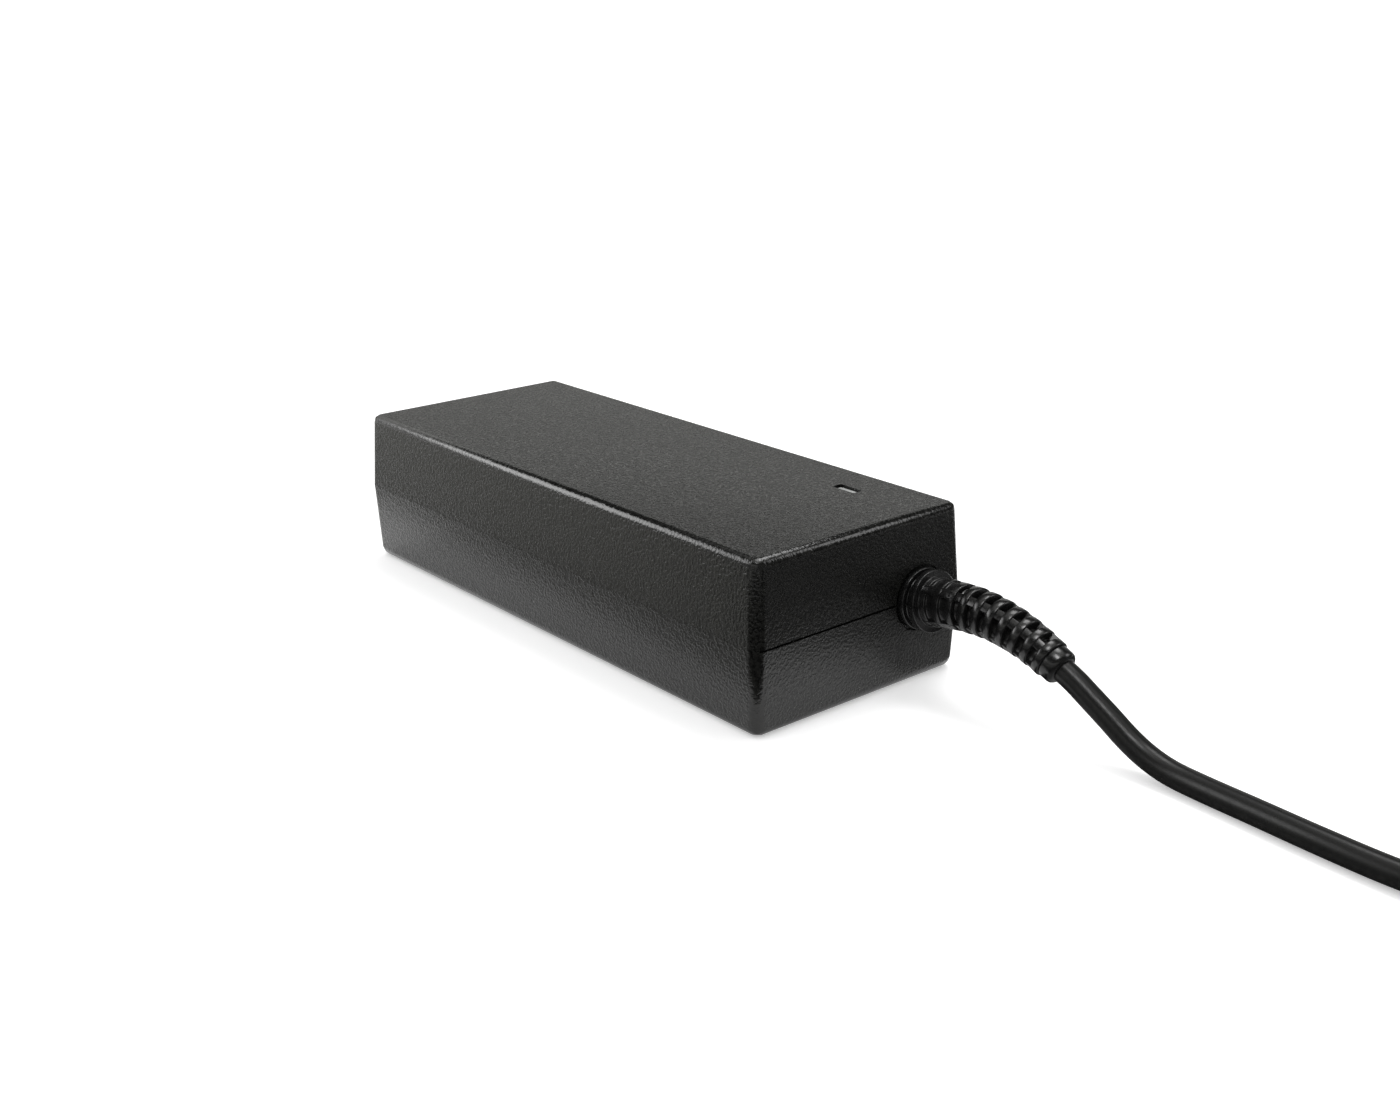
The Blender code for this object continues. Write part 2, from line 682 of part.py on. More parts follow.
def folded(name, side, flat, rim, thickness, material):
    """A sheet folded into a channel along X: its flat at one height, its sides up or down to
    another. The sizes are those of its outer face."""
    shape = bmesh.new()
    bmesh.ops.create_cube(shape, size=2.0)
    up = 1 if rim > flat else -1
    for vert in shape.verts:
        vert.co.x = SCREEN_END if vert.co.x > 0 else SCREEN_START
        vert.co.y *= side
        vert.co.z = rim if vert.co.z * up > 0 else flat
    open_faces = []
    for face in shape.faces:
        if abs(face.normal.x) > 0.5 or face.normal.z * up > 0.5:
            open_faces.append(face)
    bmesh.ops.delete(shape, geom=open_faces, context="FACES_ONLY")
    made = mesh_from(name, shape, (0, 0, 0), material)

    def rule(first, second):
        along = abs(first.x - second.x) > 0
        return 1.0 if along and max(abs(first.z - flat), abs(second.z - flat)) < GAP else 0.0

    weigh(made, rule)
    bevelled(made, BEND_RADIUS, segments=BEND_SEGMENTS, limit="WEIGHT")
    wall = made.modifiers.new("sheet", "SOLIDIFY")
    wall.thickness = thickness
    wall.offset = -1.0
    return made


SHEET_SIDE = HALF_BOARD + GAP + SHEET_THICKNESS
SHIELD_SIDE = SHEET_SIDE + GAP + SHIELD_THICKNESS
folded(
    "lower_shield", SHIELD_SIDE, WALL + GAP, SCREEN_SPLIT - GAP / 2, SHIELD_THICKNESS, COPPER
)
folded(
    "insulating_sheet", SHEET_SIDE, WALL + GAP + SHIELD_THICKNESS + GAP,
    SCREEN_SPLIT - GAP / 2, SHEET_THICKNESS, SHEET,
)
upper_shield = folded(
    "upper_shield", SHIELD_SIDE, CEILING - GAP, SCREEN_SPLIT + GAP / 2, SHIELD_THICKNESS, COPPER
)

# Light pipe in the slot, and the indicator under it

pipe_size = Vector((SLOT_LENGTH - 2 * GAP, SLOT_WIDTH - 2 * GAP, 0))
flange_size = pipe_size + Vector((2 * PIPE_FLANGE_RIM, 2 * PIPE_FLANGE_RIM, PIPE_FLANGE))
FLANGE_BASE = CEILING - GAP - PIPE_FLANGE
PIPE_BASE = FLANGE_BASE - PIPE_STEM
pipe_size.z = CASE_HEIGHT - WINDOW_RECESS - PIPE_BASE
pipe = standing("light_pipe", (slot_x, slot_y), pipe_size, LENS, base=PIPE_BASE)
grow(pipe, standing("pipe_flange", (slot_x, slot_y), flange_size, base=FLANGE_BASE))
cut(upper_shield, standing(
    "shield_window", (slot_x, slot_y),
    flange_size + Vector((2 * GAP, 2 * GAP, 2 * BEYOND)), base=CEILING - BEYOND,
))
led_radius = LED_DIAMETER / 2
LED_BASE = PIPE_BASE - GAP - LED_LENGTH
dome = [
    (led_radius * math.cos(a), LED_LENGTH - led_radius * (1 - math.sin(a)))
    for a in (math.radians(d) for d in (60, 30, 0))
]
led = turned(
    "indicator_led", [(0, LED_LENGTH), *dome, (led_radius, 0), (0, 0)], "Z",
    (slot_x, slot_y, LED_BASE), LED_RESIN, sides=12,
)


def legs(made, name, points, top, bottom=SEAT):
    """Square legs under a part, from the board into its body."""
    for i, (x, y) in enumerate(points):
        size = Vector((LEG_WIDTH, LEG_WIDTH, top + OVERLAP - bottom))
        grow(made, standing(f"{name}_leg_{i + 1}", (x, y), size, base=bottom))


led_legs = [(slot_x + side * LED_LEG_PITCH / 2, slot_y) for side in (-1, 1)]
legs(led, "indicator_led", [(slot_x + (x - slot_x) * LED_LEG_SPLAY, y) for x, y in led_legs], LED_BASE)

# Primary side

filter_diameter = FILTER_CORE_DIAMETER + 2 * (GAP + FILTER_WINDING)
entry_x, filter_x, bulk_x = spread(
    BOARD_START, PRIMARY_BAY, (FUSE_LENGTH, filter_diameter, BULK_DIAMETER)
)
fuse_y, _, thermistor_y = spread(
    -HALF_BOARD, BOARD_WIDTH, (FUSE_DIAMETER, LEAD_LANE, THERMISTOR_THICKNESS)
)
fuse_half = FUSE_LENGTH / 2
fuse_radius = FUSE_DIAMETER / 2
cap_end, tube_radius = fuse_half - FUSE_CAP, FUSE_TUBE_DIAMETER / 2
turned(
    "fuse",
    [(0, fuse_half), (fuse_radius, fuse_half), (fuse_radius, cap_end),
     (tube_radius, cap_end), (tube_radius, -cap_end), (fuse_radius, -cap_end),
     (fuse_radius, -fuse_half), (0, -fuse_half)],
    "X", (entry_x, fuse_y, SEAT + fuse_radius), GLASS, sides=12,
)


def disc(name, middle, diameter, thickness, material):
    """A coated disc on two legs, its flat sides facing along Y."""
    radius, half = diameter / 2, thickness / 2
    rim = 0.7 * half
    made = turned(
        name,
        [(0, half), (0.8 * radius, half), (radius, rim), (radius, -rim), (0.8 * radius, -half),
         (0, -half)],
        "Y", (*middle, SEAT + LEG_LENGTH + radius), material, sides=16,
    )
    x, y = middle
    points = [(x - radius / 2, y), (x + radius / 2, y)]
    legs(made, name, points, SEAT + LEG_LENGTH + 0.3 * radius)
    return made


disc(
    "inrush_thermistor", (entry_x, thermistor_y), THERMISTOR_DIAMETER, THERMISTOR_THICKNESS,
    DISC,
)
x_capacitor_y, filter_y, bridge_y = spread(
    -HALF_BOARD, BOARD_WIDTH, (X_CAPACITOR.y, filter_diameter, BRIDGE.y)
)
bevelled(standing("x_capacitor", (filter_x, x_capacitor_y), X_CAPACITOR, FILM), X_CAPACITOR_EDGE)
bridge = standing(
    "bridge_rectifier", (filter_x, bridge_y), BRIDGE, EPOXY, base=SEAT + LEG_LENGTH
)
bevelled(bridge, LEG_WIDTH / 2, segments=1)
bridge_legs = [(x, bridge_y) for x in spread(filter_x - BRIDGE.x / 2, BRIDGE.x, [LEG_WIDTH] * 4)]
legs(bridge, "bridge", bridge_legs, SEAT + LEG_LENGTH)


def ring(name, outer, bore, height, at, material=None):
    """A ring with a square section, lying flat, its middle at a point."""
    profile = [(outer / 2, height / 2), (outer / 2, -height / 2), (bore / 2, -height / 2),
               (bore / 2, height / 2)]
    return turned(name, profile, "Z", at, material)


winding_height = FILTER_CORE_HEIGHT + 2 * (GAP + FILTER_WINDING)
filter_at = Vector((filter_x, filter_y, SEAT + winding_height / 2))
ring(
    "line_filter_core", FILTER_CORE_DIAMETER, FILTER_CORE_BORE, FILTER_CORE_HEIGHT, filter_at,
    FERRITE,
)
core_room = ring(
    "core_room", FILTER_CORE_DIAMETER + 2 * GAP, FILTER_CORE_BORE - 2 * GAP,
    FILTER_CORE_HEIGHT + 2 * GAP, filter_at,
)
for number, side in ((1, -1), (2, 1)):
    winding = ring(
        f"line_filter_winding_{number}", filter_diameter,
        FILTER_CORE_BORE - 2 * (GAP + FILTER_WINDING), winding_height, filter_at, ENAMEL,
    )
    reach = filter_diameter
    other_half = block(
        f"other_half_{number}",
        filter_at + Vector((-reach, -reach, -reach)),
        filter_at + Vector((reach, FILTER_BARRIER / 2, reach)),
    )
    if side < 0:
        other_half.location.y += reach - FILTER_BARRIER / 2
    cut(winding, core_room, other_half)

sink_unit = HEATSINK_THICKNESS + GAP + PACKAGE.y
sink_y, bulk_y = spread(-HALF_BOARD, BOARD_WIDTH, (sink_unit, BULK_LENGTH))
bulk_radius, bulk_half = BULK_DIAMETER / 2, BULK_LENGTH / 2
crimp = bulk_half - 3 * CRIMP_DEPTH
turned(
    "bulk_capacitor",
    [(0, bulk_half), (bulk_radius - CRIMP_DEPTH, bulk_half), (bulk_radius, bulk_half - CRIMP_DEPTH),
     (bulk_radius, crimp), (bulk_radius - CRIMP_DEPTH, crimp - CRIMP_DEPTH),
     (bulk_radius, crimp - 2 * CRIMP_DEPTH), (bulk_radius, CRIMP_DEPTH - bulk_half),
     (bulk_radius - CRIMP_DEPTH, -bulk_half), (0, -bulk_half)],
    "Y", (bulk_x, bulk_y, SEAT + bulk_radius), SLEEVE, sides=24,
)


def on_heatsink(sink, device, x, y, length, height):
    """A plate that stands on the board, with a package against its inner face."""
    plate_y = y - sink_unit / 2 + HEATSINK_THICKNESS / 2
    standing(sink, (x, plate_y), Vector((length, HEATSINK_THICKNESS, height)), ALUMINIUM)
    package_y = y + sink_unit / 2 - PACKAGE.y / 2
    made = standing(device, (x, package_y), PACKAGE, EPOXY, base=SEAT + LEG_LENGTH)
    bevelled(made, LEG_WIDTH / 2, segments=1)
    points = [(leg, package_y) for leg in spread(x - PACKAGE.x / 2, PACKAGE.x, [LEG_WIDTH] * 3)]
    legs(made, device, points, SEAT + LEG_LENGTH)


on_heatsink(
    "primary_heatsink", "primary_switch", bulk_x, sink_y, PRIMARY_SINK_LENGTH,
    PRIMARY_SINK_HEIGHT,
)

# Transformer: a core with a middle leg, the bobbin on that leg, and the winding on the bobbin

core_z = SEAT + (TRANSFORMER_HEIGHT - GAP) / 2
core_at = Vector((BARRIER_X, transformer_y, core_z))


def about_core(name, x, y, z, material=None, shift=(0, 0, 0)):
    """A box about the core's middle, by its half sizes."""
    half, middle = Vector((x, y, z)), core_at + Vector(shift)
    return block(name, middle - half, middle + half, material)


half_length, half_width = TRANSFORMER_LENGTH / 2, TRANSFORMER_WIDTH / 2
window_y = half_width - CORE_YOKE
core = about_core("transformer_core", half_length, half_width, CORE_DEPTH / 2, FERRITE)
window_x = (half_length - CORE_LEG - CORE_CENTRE_LEG / 2) / 2
for side in (-1, 1):
    shift = (side * (CORE_CENTRE_LEG / 2 + window_x), 0, 0)
    name = "near" if side < 0 else "far"
    cut(core, about_core(f"{name}_core_window", window_x, window_y, CORE_DEPTH, shift=shift))
inside_x = half_length - CORE_LEG - GAP
tube_x = CORE_CENTRE_LEG / 2 + GAP + BOBBIN_WALL
tube_z = CORE_DEPTH / 2 + GAP + BOBBIN_WALL
flange_z = (TRANSFORMER_HEIGHT - GAP) / 2
bobbin = about_core("transformer_bobbin", tube_x, window_y - GAP, tube_z, EPOXY)
for side in (-1, 1):
    shift = (0, side * (window_y - GAP - BOBBIN_FLANGE / 2), 0)
    name = "near" if side < 0 else "far"
    grow(bobbin, about_core(
        f"{name}_bobbin_flange", inside_x, BOBBIN_FLANGE / 2, flange_z, shift=shift
    ))
cut(bobbin, about_core("bobbin_bore", tube_x - BOBBIN_WALL, half_width, tube_z - BOBBIN_WALL))
winding_y = window_y - GAP - BOBBIN_FLANGE - GAP
coil_block = about_core(
    "transformer_winding", inside_x - GAP, winding_y, flange_z - 2 * GAP, TAPE
)
bevelled(coil_block, 2 * GAP)
cut(coil_block, about_core("winding_bore", tube_x + GAP, half_width, tube_z + GAP))

chip_x, y_capacitor_x, optocoupler_x = spread(
    BOARD_START + PRIMARY_BAY, TRANSFORMER_BAY,
    (CONTROLLER.x, Y_CAPACITOR_DIAMETER, OPTOCOUPLER.x),
)
bevelled(standing("controller_chip", (chip_x, barrier_y), CONTROLLER, EPOXY), GAP, segments=1)
disc(
    "y_capacitor", (y_capacitor_x, barrier_y), Y_CAPACITOR_DIAMETER, Y_CAPACITOR_THICKNESS, DISC
)
bevelled(standing("optocoupler", (optocoupler_x, barrier_y), OPTOCOUPLER, EPOXY), GAP, segments=1)

# Secondary side

SECONDARY_START = BOARD_END - SECONDARY_BAY
secondary_x = SECONDARY_START + SECONDARY_BAY / 2
lane_room = RELIEF_SIDE - CORNER_LANE / 2 + HALF_BOARD
rectifier_y, capacitor_y, choke_y = spread(
    -HALF_BOARD, lane_room, (sink_unit, OUTPUT_CAPACITOR_DIAMETER, CHOKE_DIAMETER)
)
on_heatsink(
    "secondary_heatsink", "output_rectifier", secondary_x, rectifier_y, SECONDARY_SINK_LENGTH,
    SECONDARY_SINK_HEIGHT,
)
can_radius = OUTPUT_CAPACITOR_DIAMETER / 2
can_top = OUTPUT_CAPACITOR_HEIGHT
can_profile = [
    (0, can_top), (can_radius - CRIMP_DEPTH, can_top), (can_radius, can_top - CRIMP_DEPTH),
    (can_radius, 3 * CRIMP_DEPTH), (can_radius - CRIMP_DEPTH, 2 * CRIMP_DEPTH),
    (can_radius, CRIMP_DEPTH), (can_radius, 0), (0, 0),
]
capacitor_places = spread(SECONDARY_START, SECONDARY_BAY, [OUTPUT_CAPACITOR_DIAMETER] * 2)
for number, x in enumerate(capacitor_places, 1):
    turned(
        f"output_capacitor_{number}", can_profile, "Z", (x, capacitor_y, SEAT), SLEEVE, sides=16
    )
choke_radius, choke_neck = CHOKE_DIAMETER / 2, CHOKE_NECK_DIAMETER / 2
choke_top = CHOKE_HEIGHT - CHOKE_FLANGE
turned(
    "output_choke_core",
    [(0, CHOKE_HEIGHT), (choke_radius, CHOKE_HEIGHT), (choke_radius, choke_top),
     (choke_neck, choke_top), (choke_neck, CHOKE_FLANGE), (choke_radius, CHOKE_FLANGE),
     (choke_radius, 0), (0, 0)],
    "Z", (secondary_x, choke_y, SEAT), FERRITE, sides=16,
)
turned(
    "output_choke_winding",
    [(choke_radius - GAP, choke_top - GAP), (choke_radius - GAP, CHOKE_FLANGE + GAP),
     (choke_neck + GAP, CHOKE_FLANGE + GAP), (choke_neck + GAP, choke_top - GAP)],
    "Z", (secondary_x, choke_y, SEAT), ENAMEL, sides=16,
)

# Cord's route: out of the housing, down to the floor and along it to the coil

relief_end = Vector(relief_at)


def on_route(out, sideways, rise):
    height = CORD_FLOOR + rise * (SEAM_HEIGHT - CORD_FLOOR)
    return Vector((relief_end.x + out, relief_end.y + sideways, height))


ROUTE_STEP = CORD_RADIUS / 2
coil_middle = relief_end + Vector((COIL_FROM_END, -COIL_RADIUS, 0))


def at_coil(x, y, z):
    return Vector((coil_middle.x + x, coil_middle.y + y, z))


def coil_points():
    """The coil's line: layers that spiral in and out in turn, and climb where they reverse."""
    line = [at_coil(-CORD_DIAMETER, COIL_RADIUS, COIL_FLOOR)]
    turns = COIL_LAYERS * TURNS_A_LAYER
    for i in range(turns * POINTS_A_TURN + 1):
        turn = i / POINTS_A_TURN
        layer, within = divmod(turn, TURNS_A_LAYER)
        drawn_in = within if layer % 2 == 0 else TURNS_A_LAYER - within
        radius = COIL_RADIUS - TURN_PITCH * drawn_in
        level = 0.0
        for reversal in range(1, COIL_LAYERS):
            share = (turn - reversal * TURNS_A_LAYER) / CLIMB_TURNS + 0.5
            share = min(max(share, 0.0), 1.0)
            level += (1 - math.cos(math.pi * share)) / 2
        angle = math.pi / 2 - 2 * math.pi * turn
        line.append(at_coil(
            radius * math.cos(angle), radius * math.sin(angle), COIL_FLOOR + LAYER_PITCH * level
        ))
    last = line[-1]
    line.append(last + Vector((CORD_DIAMETER, 0, 0)))
    return line


coil_line = coil_points()
coil_top = coil_line[-1].z + CORD_RADIUS
own_gap = min(
    (a - b).length - CORD_DIAMETER
    for i, a in enumerate(coil_line)
    for b in coil_line[i + POINTS_A_TURN // 2:]
)
print(f"least gap between the coil's turns: {own_gap * 1000:.2f} mm")

coil_start = coil_line[0]
arrival = [on_route(*point) for point in CORD_ROUTE]
for i, point in enumerate(arrival):
    # Over its last stretch the cord rises onto the tie's thickness, where the coil begins
    share = min(max((CORD_ROUTE[i][0] - RISE_START) / RISE_LENGTH, 0.0), 1.0)
    point.z += share * (COIL_FLOOR - CORD_FLOOR)
arrival[-1] = coil_start - Vector((GAP, 0, 0))
route = smooth(arrival, ROUTE_STEP)
route_length = length_of(route)

# Strain relief, turned and webbed as a straight sleeve, then bent along the route

SEAT_X = -arrival[0].x + relief_end.x  # from the start of the route to the end of the housing
INNER_END = SEAT_X + INNER_REACH
ribs_start = -RING_RECESS + GAP + RING_THICKNESS + GROOVE + RING_THICKNESS + SLEEVE_LENGTH
ribs_length = RIB_COUNT * RIB_PITCH
RELIEF_TIP = SEAT_X + ribs_start + ribs_length + COLLAR_LENGTH


def relief_profile():
    """Radius and distance from the start of the route, listed from the inner end to the tip."""
    x = INNER_END
    outline = [(0, x), (INNER_FLANGE_RADIUS, x)]
    x += INNER_FLANGE
    outline += [(INNER_FLANGE_RADIUS, x), (NECK_RADIUS, x)]
    x = SEAT_X - RING_RECESS + GAP
    outline += [(NECK_RADIUS, x), (RING_RADIUS, x)]
    x += RING_THICKNESS
    edge = RING_THICKNESS / 4
    outline += [(RING_RADIUS, x - edge), (RING_RADIUS - edge, x), (GROOVE_RADIUS, x)]
    x += GROOVE
    outline += [(GROOVE_RADIUS, x), (RING_RADIUS - edge, x), (RING_RADIUS, x + edge)]
    x += RING_THICKNESS
    outline += [(RING_RADIUS, x - edge), (RING_RADIUS - edge, x), (SLEEVE_RADIUS, x)]
    lands = 2
    land = SLEEVE_LENGTH / (2 * lands + 1)
    for i in range(lands):
        low = taper(SLEEVE_RADIUS, FIRST_RIB_RADIUS, (i + 0.5) / lands)
        x += land
        outline += [(low, x), (low - SHALLOW_GROOVE, x + edge)]
        x += land
        outline += [(low - SHALLOW_GROOVE, x - edge), (low, x)]
    x = SEAT_X + ribs_start
    outline.append((FIRST_RIB_RADIUS, x - edge))
    for i in range(RIB_COUNT):
        share = i / (RIB_COUNT - 1)
        rib = taper(FIRST_RIB_RADIUS, LAST_RIB_RADIUS, share)
        low = CORD_RADIUS + taper(RIB_CORE, RIB_CORE / 3, share)
        gap = RIB_PITCH - RIB_THICKNESS
        outline += [(low, x), (low, x + gap), (rib - edge / 2, x + gap), (rib, x + gap + edge)]
        x += RIB_PITCH
        if i < RIB_COUNT - 1:
            outline += [(rib, x - edge), (rib - edge, x)]
    outline += [(LAST_RIB_RADIUS, x), (COLLAR_RADIUS, x + edge)]
    x += COLLAR_LENGTH
    outline += [(COLLAR_RADIUS, x - 2 * edge), (COLLAR_RADIUS - edge, x - edge / 2),
                (CORD_RADIUS, x), (0, x)]
    return outline[::-1]


guide = curve_of(
    "relief_guide", stretch(route, 0, RELIEF_TIP + BEYOND, RELIEF_BEND_POINTS), None
)
relief = turned(
    "strain_relief", relief_profile(), "X", (0, 0, 0), SOFT_BLACK, sides=RELIEF_SIDES
)
for turn, name in ((math.pi / 4, "rising"), (-math.pi / 4, "falling")):
    shape = bmesh.new()
    bmesh.ops.create_cube(shape, size=1.0)
    for vert in shape.verts:
        tip = vert.co.x > 0
        reach = (LAST_RIB_RADIUS if tip else FIRST_RIB_RADIUS) - WEB_STEP
        vert.co.x = SEAT_X + ribs_start + (ribs_length + OVERLAP if tip else -OVERLAP)
        vert.co.y *= WEB_THICKNESS
        vert.co.z *= 2 * reach
    web = mesh_from(f"{name}_web", shape, (0, 0, 0), None)
    web.rotation_euler.x = turn
    grow(relief, web)
bend = relief.modifiers.new("bend", "CURVE")
bend.object = guide
bend.deform_axis = "POS_X"

# Cord outside the housing: free stretch, coil, tie and tail

free_length = route_length - RELIEF_TIP - GAP
curve_of(
    "dc_cord",
    stretch(route, RELIEF_TIP + GAP, route_length, round(free_length / (2 * CORD_DIAMETER)) * 2),
    SOFT_BLACK, CORD_RADIUS,
)
curve_of("dc_cord_coil", coil_line, SOFT_BLACK, CORD_RADIUS, resolution=1)

near_tie = [p for p in coil_line if abs(p.x - coil_middle.x) < TIE_WIDTH and p.y < coil_middle.y]
tie_low = min(p.y for p in near_tie) - CORD_RADIUS - TIE_ROOM
tie_high = max(p.y for p in near_tie) + CORD_RADIUS + TIE_ROOM
tie_top = coil_top + GAP
tie = block(
    "cord_tie",
    (coil_middle.x - TIE_WIDTH / 2, tie_low - TIE_THICKNESS, 0),
    (coil_middle.x + TIE_WIDTH / 2, tie_high + TIE_THICKNESS, tie_top + TIE_THICKNESS),
    STRAP,
)
cut(tie, block(
    "tie_bore",
    (coil_middle.x - TIE_WIDTH, tie_low, TIE_THICKNESS),
    (coil_middle.x + TIE_WIDTH, tie_high, tie_top),
))

plug_height = coil_top + GAP + GRIP_RADIUS
tail_points = [coil_line[-1] + Vector((GAP, 0, 0))]
for x, y, rise in TAIL_ROUTE:
    tail_points.append(at_coil(x, y, taper(coil_line[-1].z, plug_height, rise)))
tail = smooth(tail_points, ROUTE_STEP)
tail_length = length_of(tail)
curve_of(
    "dc_cord_tail", stretch(tail, 0, tail_length, round(tail_length / CORD_DIAMETER) * 2),
    SOFT_BLACK, CORD_RADIUS,
)
print(f"cord from the housing to the plug: {route_length + length_of(coil_line) + tail_length:.3f} m")

# Cord inside the housing, and its two leads to the board

core_start = HALF_LENGTH + INNER_REACH - GAP
curve_of(
    "cord_core",
    [(core_start, RELIEF_SIDE, SEAM_HEIGHT),
     (core_start - CORD_CORE_LENGTH, RELIEF_SIDE, SEAM_HEIGHT)],
    SOFT_BLACK, CORD_CORE_DIAMETER / 2,
)
leads_start = core_start - CORD_CORE_LENGTH - GAP
drop = SEAM_HEIGHT - SEAT
landing = BOARD_END - 2 * OUTPUT_LEAD_DIAMETER
for name, side, colour in (("positive", -1, RED_WIRE), ("negative", 1, SOFT_BLACK)):
    lead = smooth(
        [(taper(leads_start, landing, along),
          RELIEF_SIDE + side * (OUTPUT_LEAD_PITCH / 2 + out * OUTPUT_LEAD_SPREAD),
          SEAM_HEIGHT - down * drop)
         for along, out, down in OUTPUT_LEAD_WAY],
        OUTPUT_LEAD_DIAMETER,
    )
    curve_of(f"output_lead_{name}", lead, colour, OUTPUT_LEAD_DIAMETER / 2)

# Output plug, lying on the coil with its mouth towards -Y

plug_at = tail_points[-1] - Vector((0, GAP, 0))
grip_front = -GRIP_TAPER - GRIP_LENGTH
seat_radius = BARREL_RADIUS + GAP
grip = [(0, 0), (GRIP_TIP_RADIUS, 0), (GRIP_TIP_RADIUS + 2 * GAP, -GAP)]
grip += [
    (taper(GRIP_TIP_RADIUS + 2 * GAP, GRIP_RADIUS, (1 - math.cos(math.pi * i / 4)) / 2),
     -GAP - GRIP_TAPER * i / 4)
    for i in range(1, 5)
]
for i in range(GRIP_GROOVES):
    start = -GRIP_TAPER - (i + 1) * GRIP_GROOVE_PITCH
    grip += [
        (GRIP_RADIUS, start), (GRIP_RADIUS - GRIP_GROOVE_DEPTH, start - GRIP_GROOVE_DEPTH),
        (GRIP_RADIUS - GRIP_GROOVE_DEPTH, start - 2 * GRIP_GROOVE_DEPTH),
        (GRIP_RADIUS, start - 3 * GRIP_GROOVE_DEPTH),
    ]
grip += [
    (GRIP_RADIUS, grip_front + 2 * GAP), (GRIP_RADIUS - 2 * GAP, grip_front),
    (seat_radius, grip_front), (seat_radius, grip_front + BARREL_SEAT), (0, grip_front + BARREL_SEAT),
]
turned("plug_sleeve", grip, "Y", plug_at, SOFT_BLACK, sides=20)


def plug_tube(name, outer, wall, back, front, material):
    profile = [(outer, back), (outer, front), (outer - wall, front), (outer - wall, back)]
    return turned(name, profile, "Y", plug_at, material, sides=16)


barrel_back = grip_front + BARREL_SEAT - GAP
barrel_front = grip_front - BARREL_LENGTH
insulator_radius = BARREL_RADIUS - BARREL_WALL - GAP
contact_radius = insulator_radius - INSULATOR_WALL - GAP
plug_tube("plug_barrel", BARREL_RADIUS, BARREL_WALL, barrel_back, barrel_front, NICKEL)
plug_tube(
    "plug_insulator", insulator_radius, INSULATOR_WALL, barrel_back, barrel_front + PLUG_STEP,
    SHEET,
)
plug_tube(
    "plug_contact", contact_radius, CONTACT_WALL, barrel_back, barrel_front + 2 * PLUG_STEP, NICKEL
)

for made in parts.objects:
    if made.type == "MESH":
        made.data.shade_smooth()
        made.data.set_sharp_from_angle(angle=math.radians(35))
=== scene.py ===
"""Dresses the laptop power adapter: its finishes, fine forms, cord, camera, floor and studio light.

Lengths are in metres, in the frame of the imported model. +X points to the cord's end, +Z up.
"""

import json
import math

import bpy
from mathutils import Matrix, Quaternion, Vector


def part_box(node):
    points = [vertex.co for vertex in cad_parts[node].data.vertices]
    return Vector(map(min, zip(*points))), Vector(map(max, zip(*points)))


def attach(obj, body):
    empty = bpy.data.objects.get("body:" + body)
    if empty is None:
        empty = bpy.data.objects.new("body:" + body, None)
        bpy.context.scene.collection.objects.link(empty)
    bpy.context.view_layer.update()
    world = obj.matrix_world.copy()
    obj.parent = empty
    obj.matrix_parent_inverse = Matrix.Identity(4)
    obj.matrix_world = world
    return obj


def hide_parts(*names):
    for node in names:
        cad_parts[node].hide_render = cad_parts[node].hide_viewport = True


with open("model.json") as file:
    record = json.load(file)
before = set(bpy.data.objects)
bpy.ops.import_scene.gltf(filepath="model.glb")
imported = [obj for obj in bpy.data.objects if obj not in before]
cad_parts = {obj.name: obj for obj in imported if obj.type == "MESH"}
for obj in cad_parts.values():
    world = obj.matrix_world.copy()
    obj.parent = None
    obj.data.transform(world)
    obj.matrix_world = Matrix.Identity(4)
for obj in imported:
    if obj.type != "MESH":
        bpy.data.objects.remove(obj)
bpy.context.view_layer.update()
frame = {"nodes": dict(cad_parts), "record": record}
bpy.ops.object.select_all(action="DESELECT")

# Camera
# It looks down on the corner between the long side and the cord's end, from about arm's length,
# at the place and angle that the photograph's perspective gives.

CAMERA_AT = Vector((0.250997, -0.191593, 0.123271))
CAMERA_LOOKS_AT = Vector((0.015227, 0.003342, 0.015000))
CAMERA_ROLL = -0.0114
LENS_LENGTH = 42.44  # in mm, for a picture that is 36 mm wide
PICTURE_WIDTH = 36.0
NEAREST_SEEN = 0.01
camera_lens = bpy.data.cameras.new("camera")
camera_lens.lens = LENS_LENGTH
camera_lens.sensor_width = PICTURE_WIDTH
camera_lens.clip_start = NEAREST_SEEN
camera = bpy.data.objects.new("camera", camera_lens)
bpy.context.scene.collection.objects.link(camera)
camera.location = CAMERA_AT
facing = (CAMERA_LOOKS_AT - CAMERA_AT).to_track_quat("-Z", "Y")
camera.rotation_euler = (facing @ Quaternion((0, 0, 1), CAMERA_ROLL)).to_euler()
bpy.context.scene.camera = camera

# Output cord
# A round two-core cord with a satin black jacket, one run from the housing to the plug. It droops
# to the floor in a soft curve, and the length past the picture is put away in a round coil.

CORD_DIAMETER = 0.0043
CORD_RADIUS = CORD_DIAMETER / 2
CORD_EXIT = Vector((0.064, 0.0141, 0.0164))
CORD_FLOOR = 0.0022  # the height of the cord's middle where it lies on the floor
COIL_FLOOR = 0.00305  # the same in the coil, which lies on the tie
COIL_RADIUS = 0.0295
COIL_FROM_END = 0.1445
TURN_PITCH = 0.0048
LAYER_PITCH = 0.00475
COIL_LAYERS = 4
TURNS_A_LAYER = 2
POINTS_A_TURN = 24
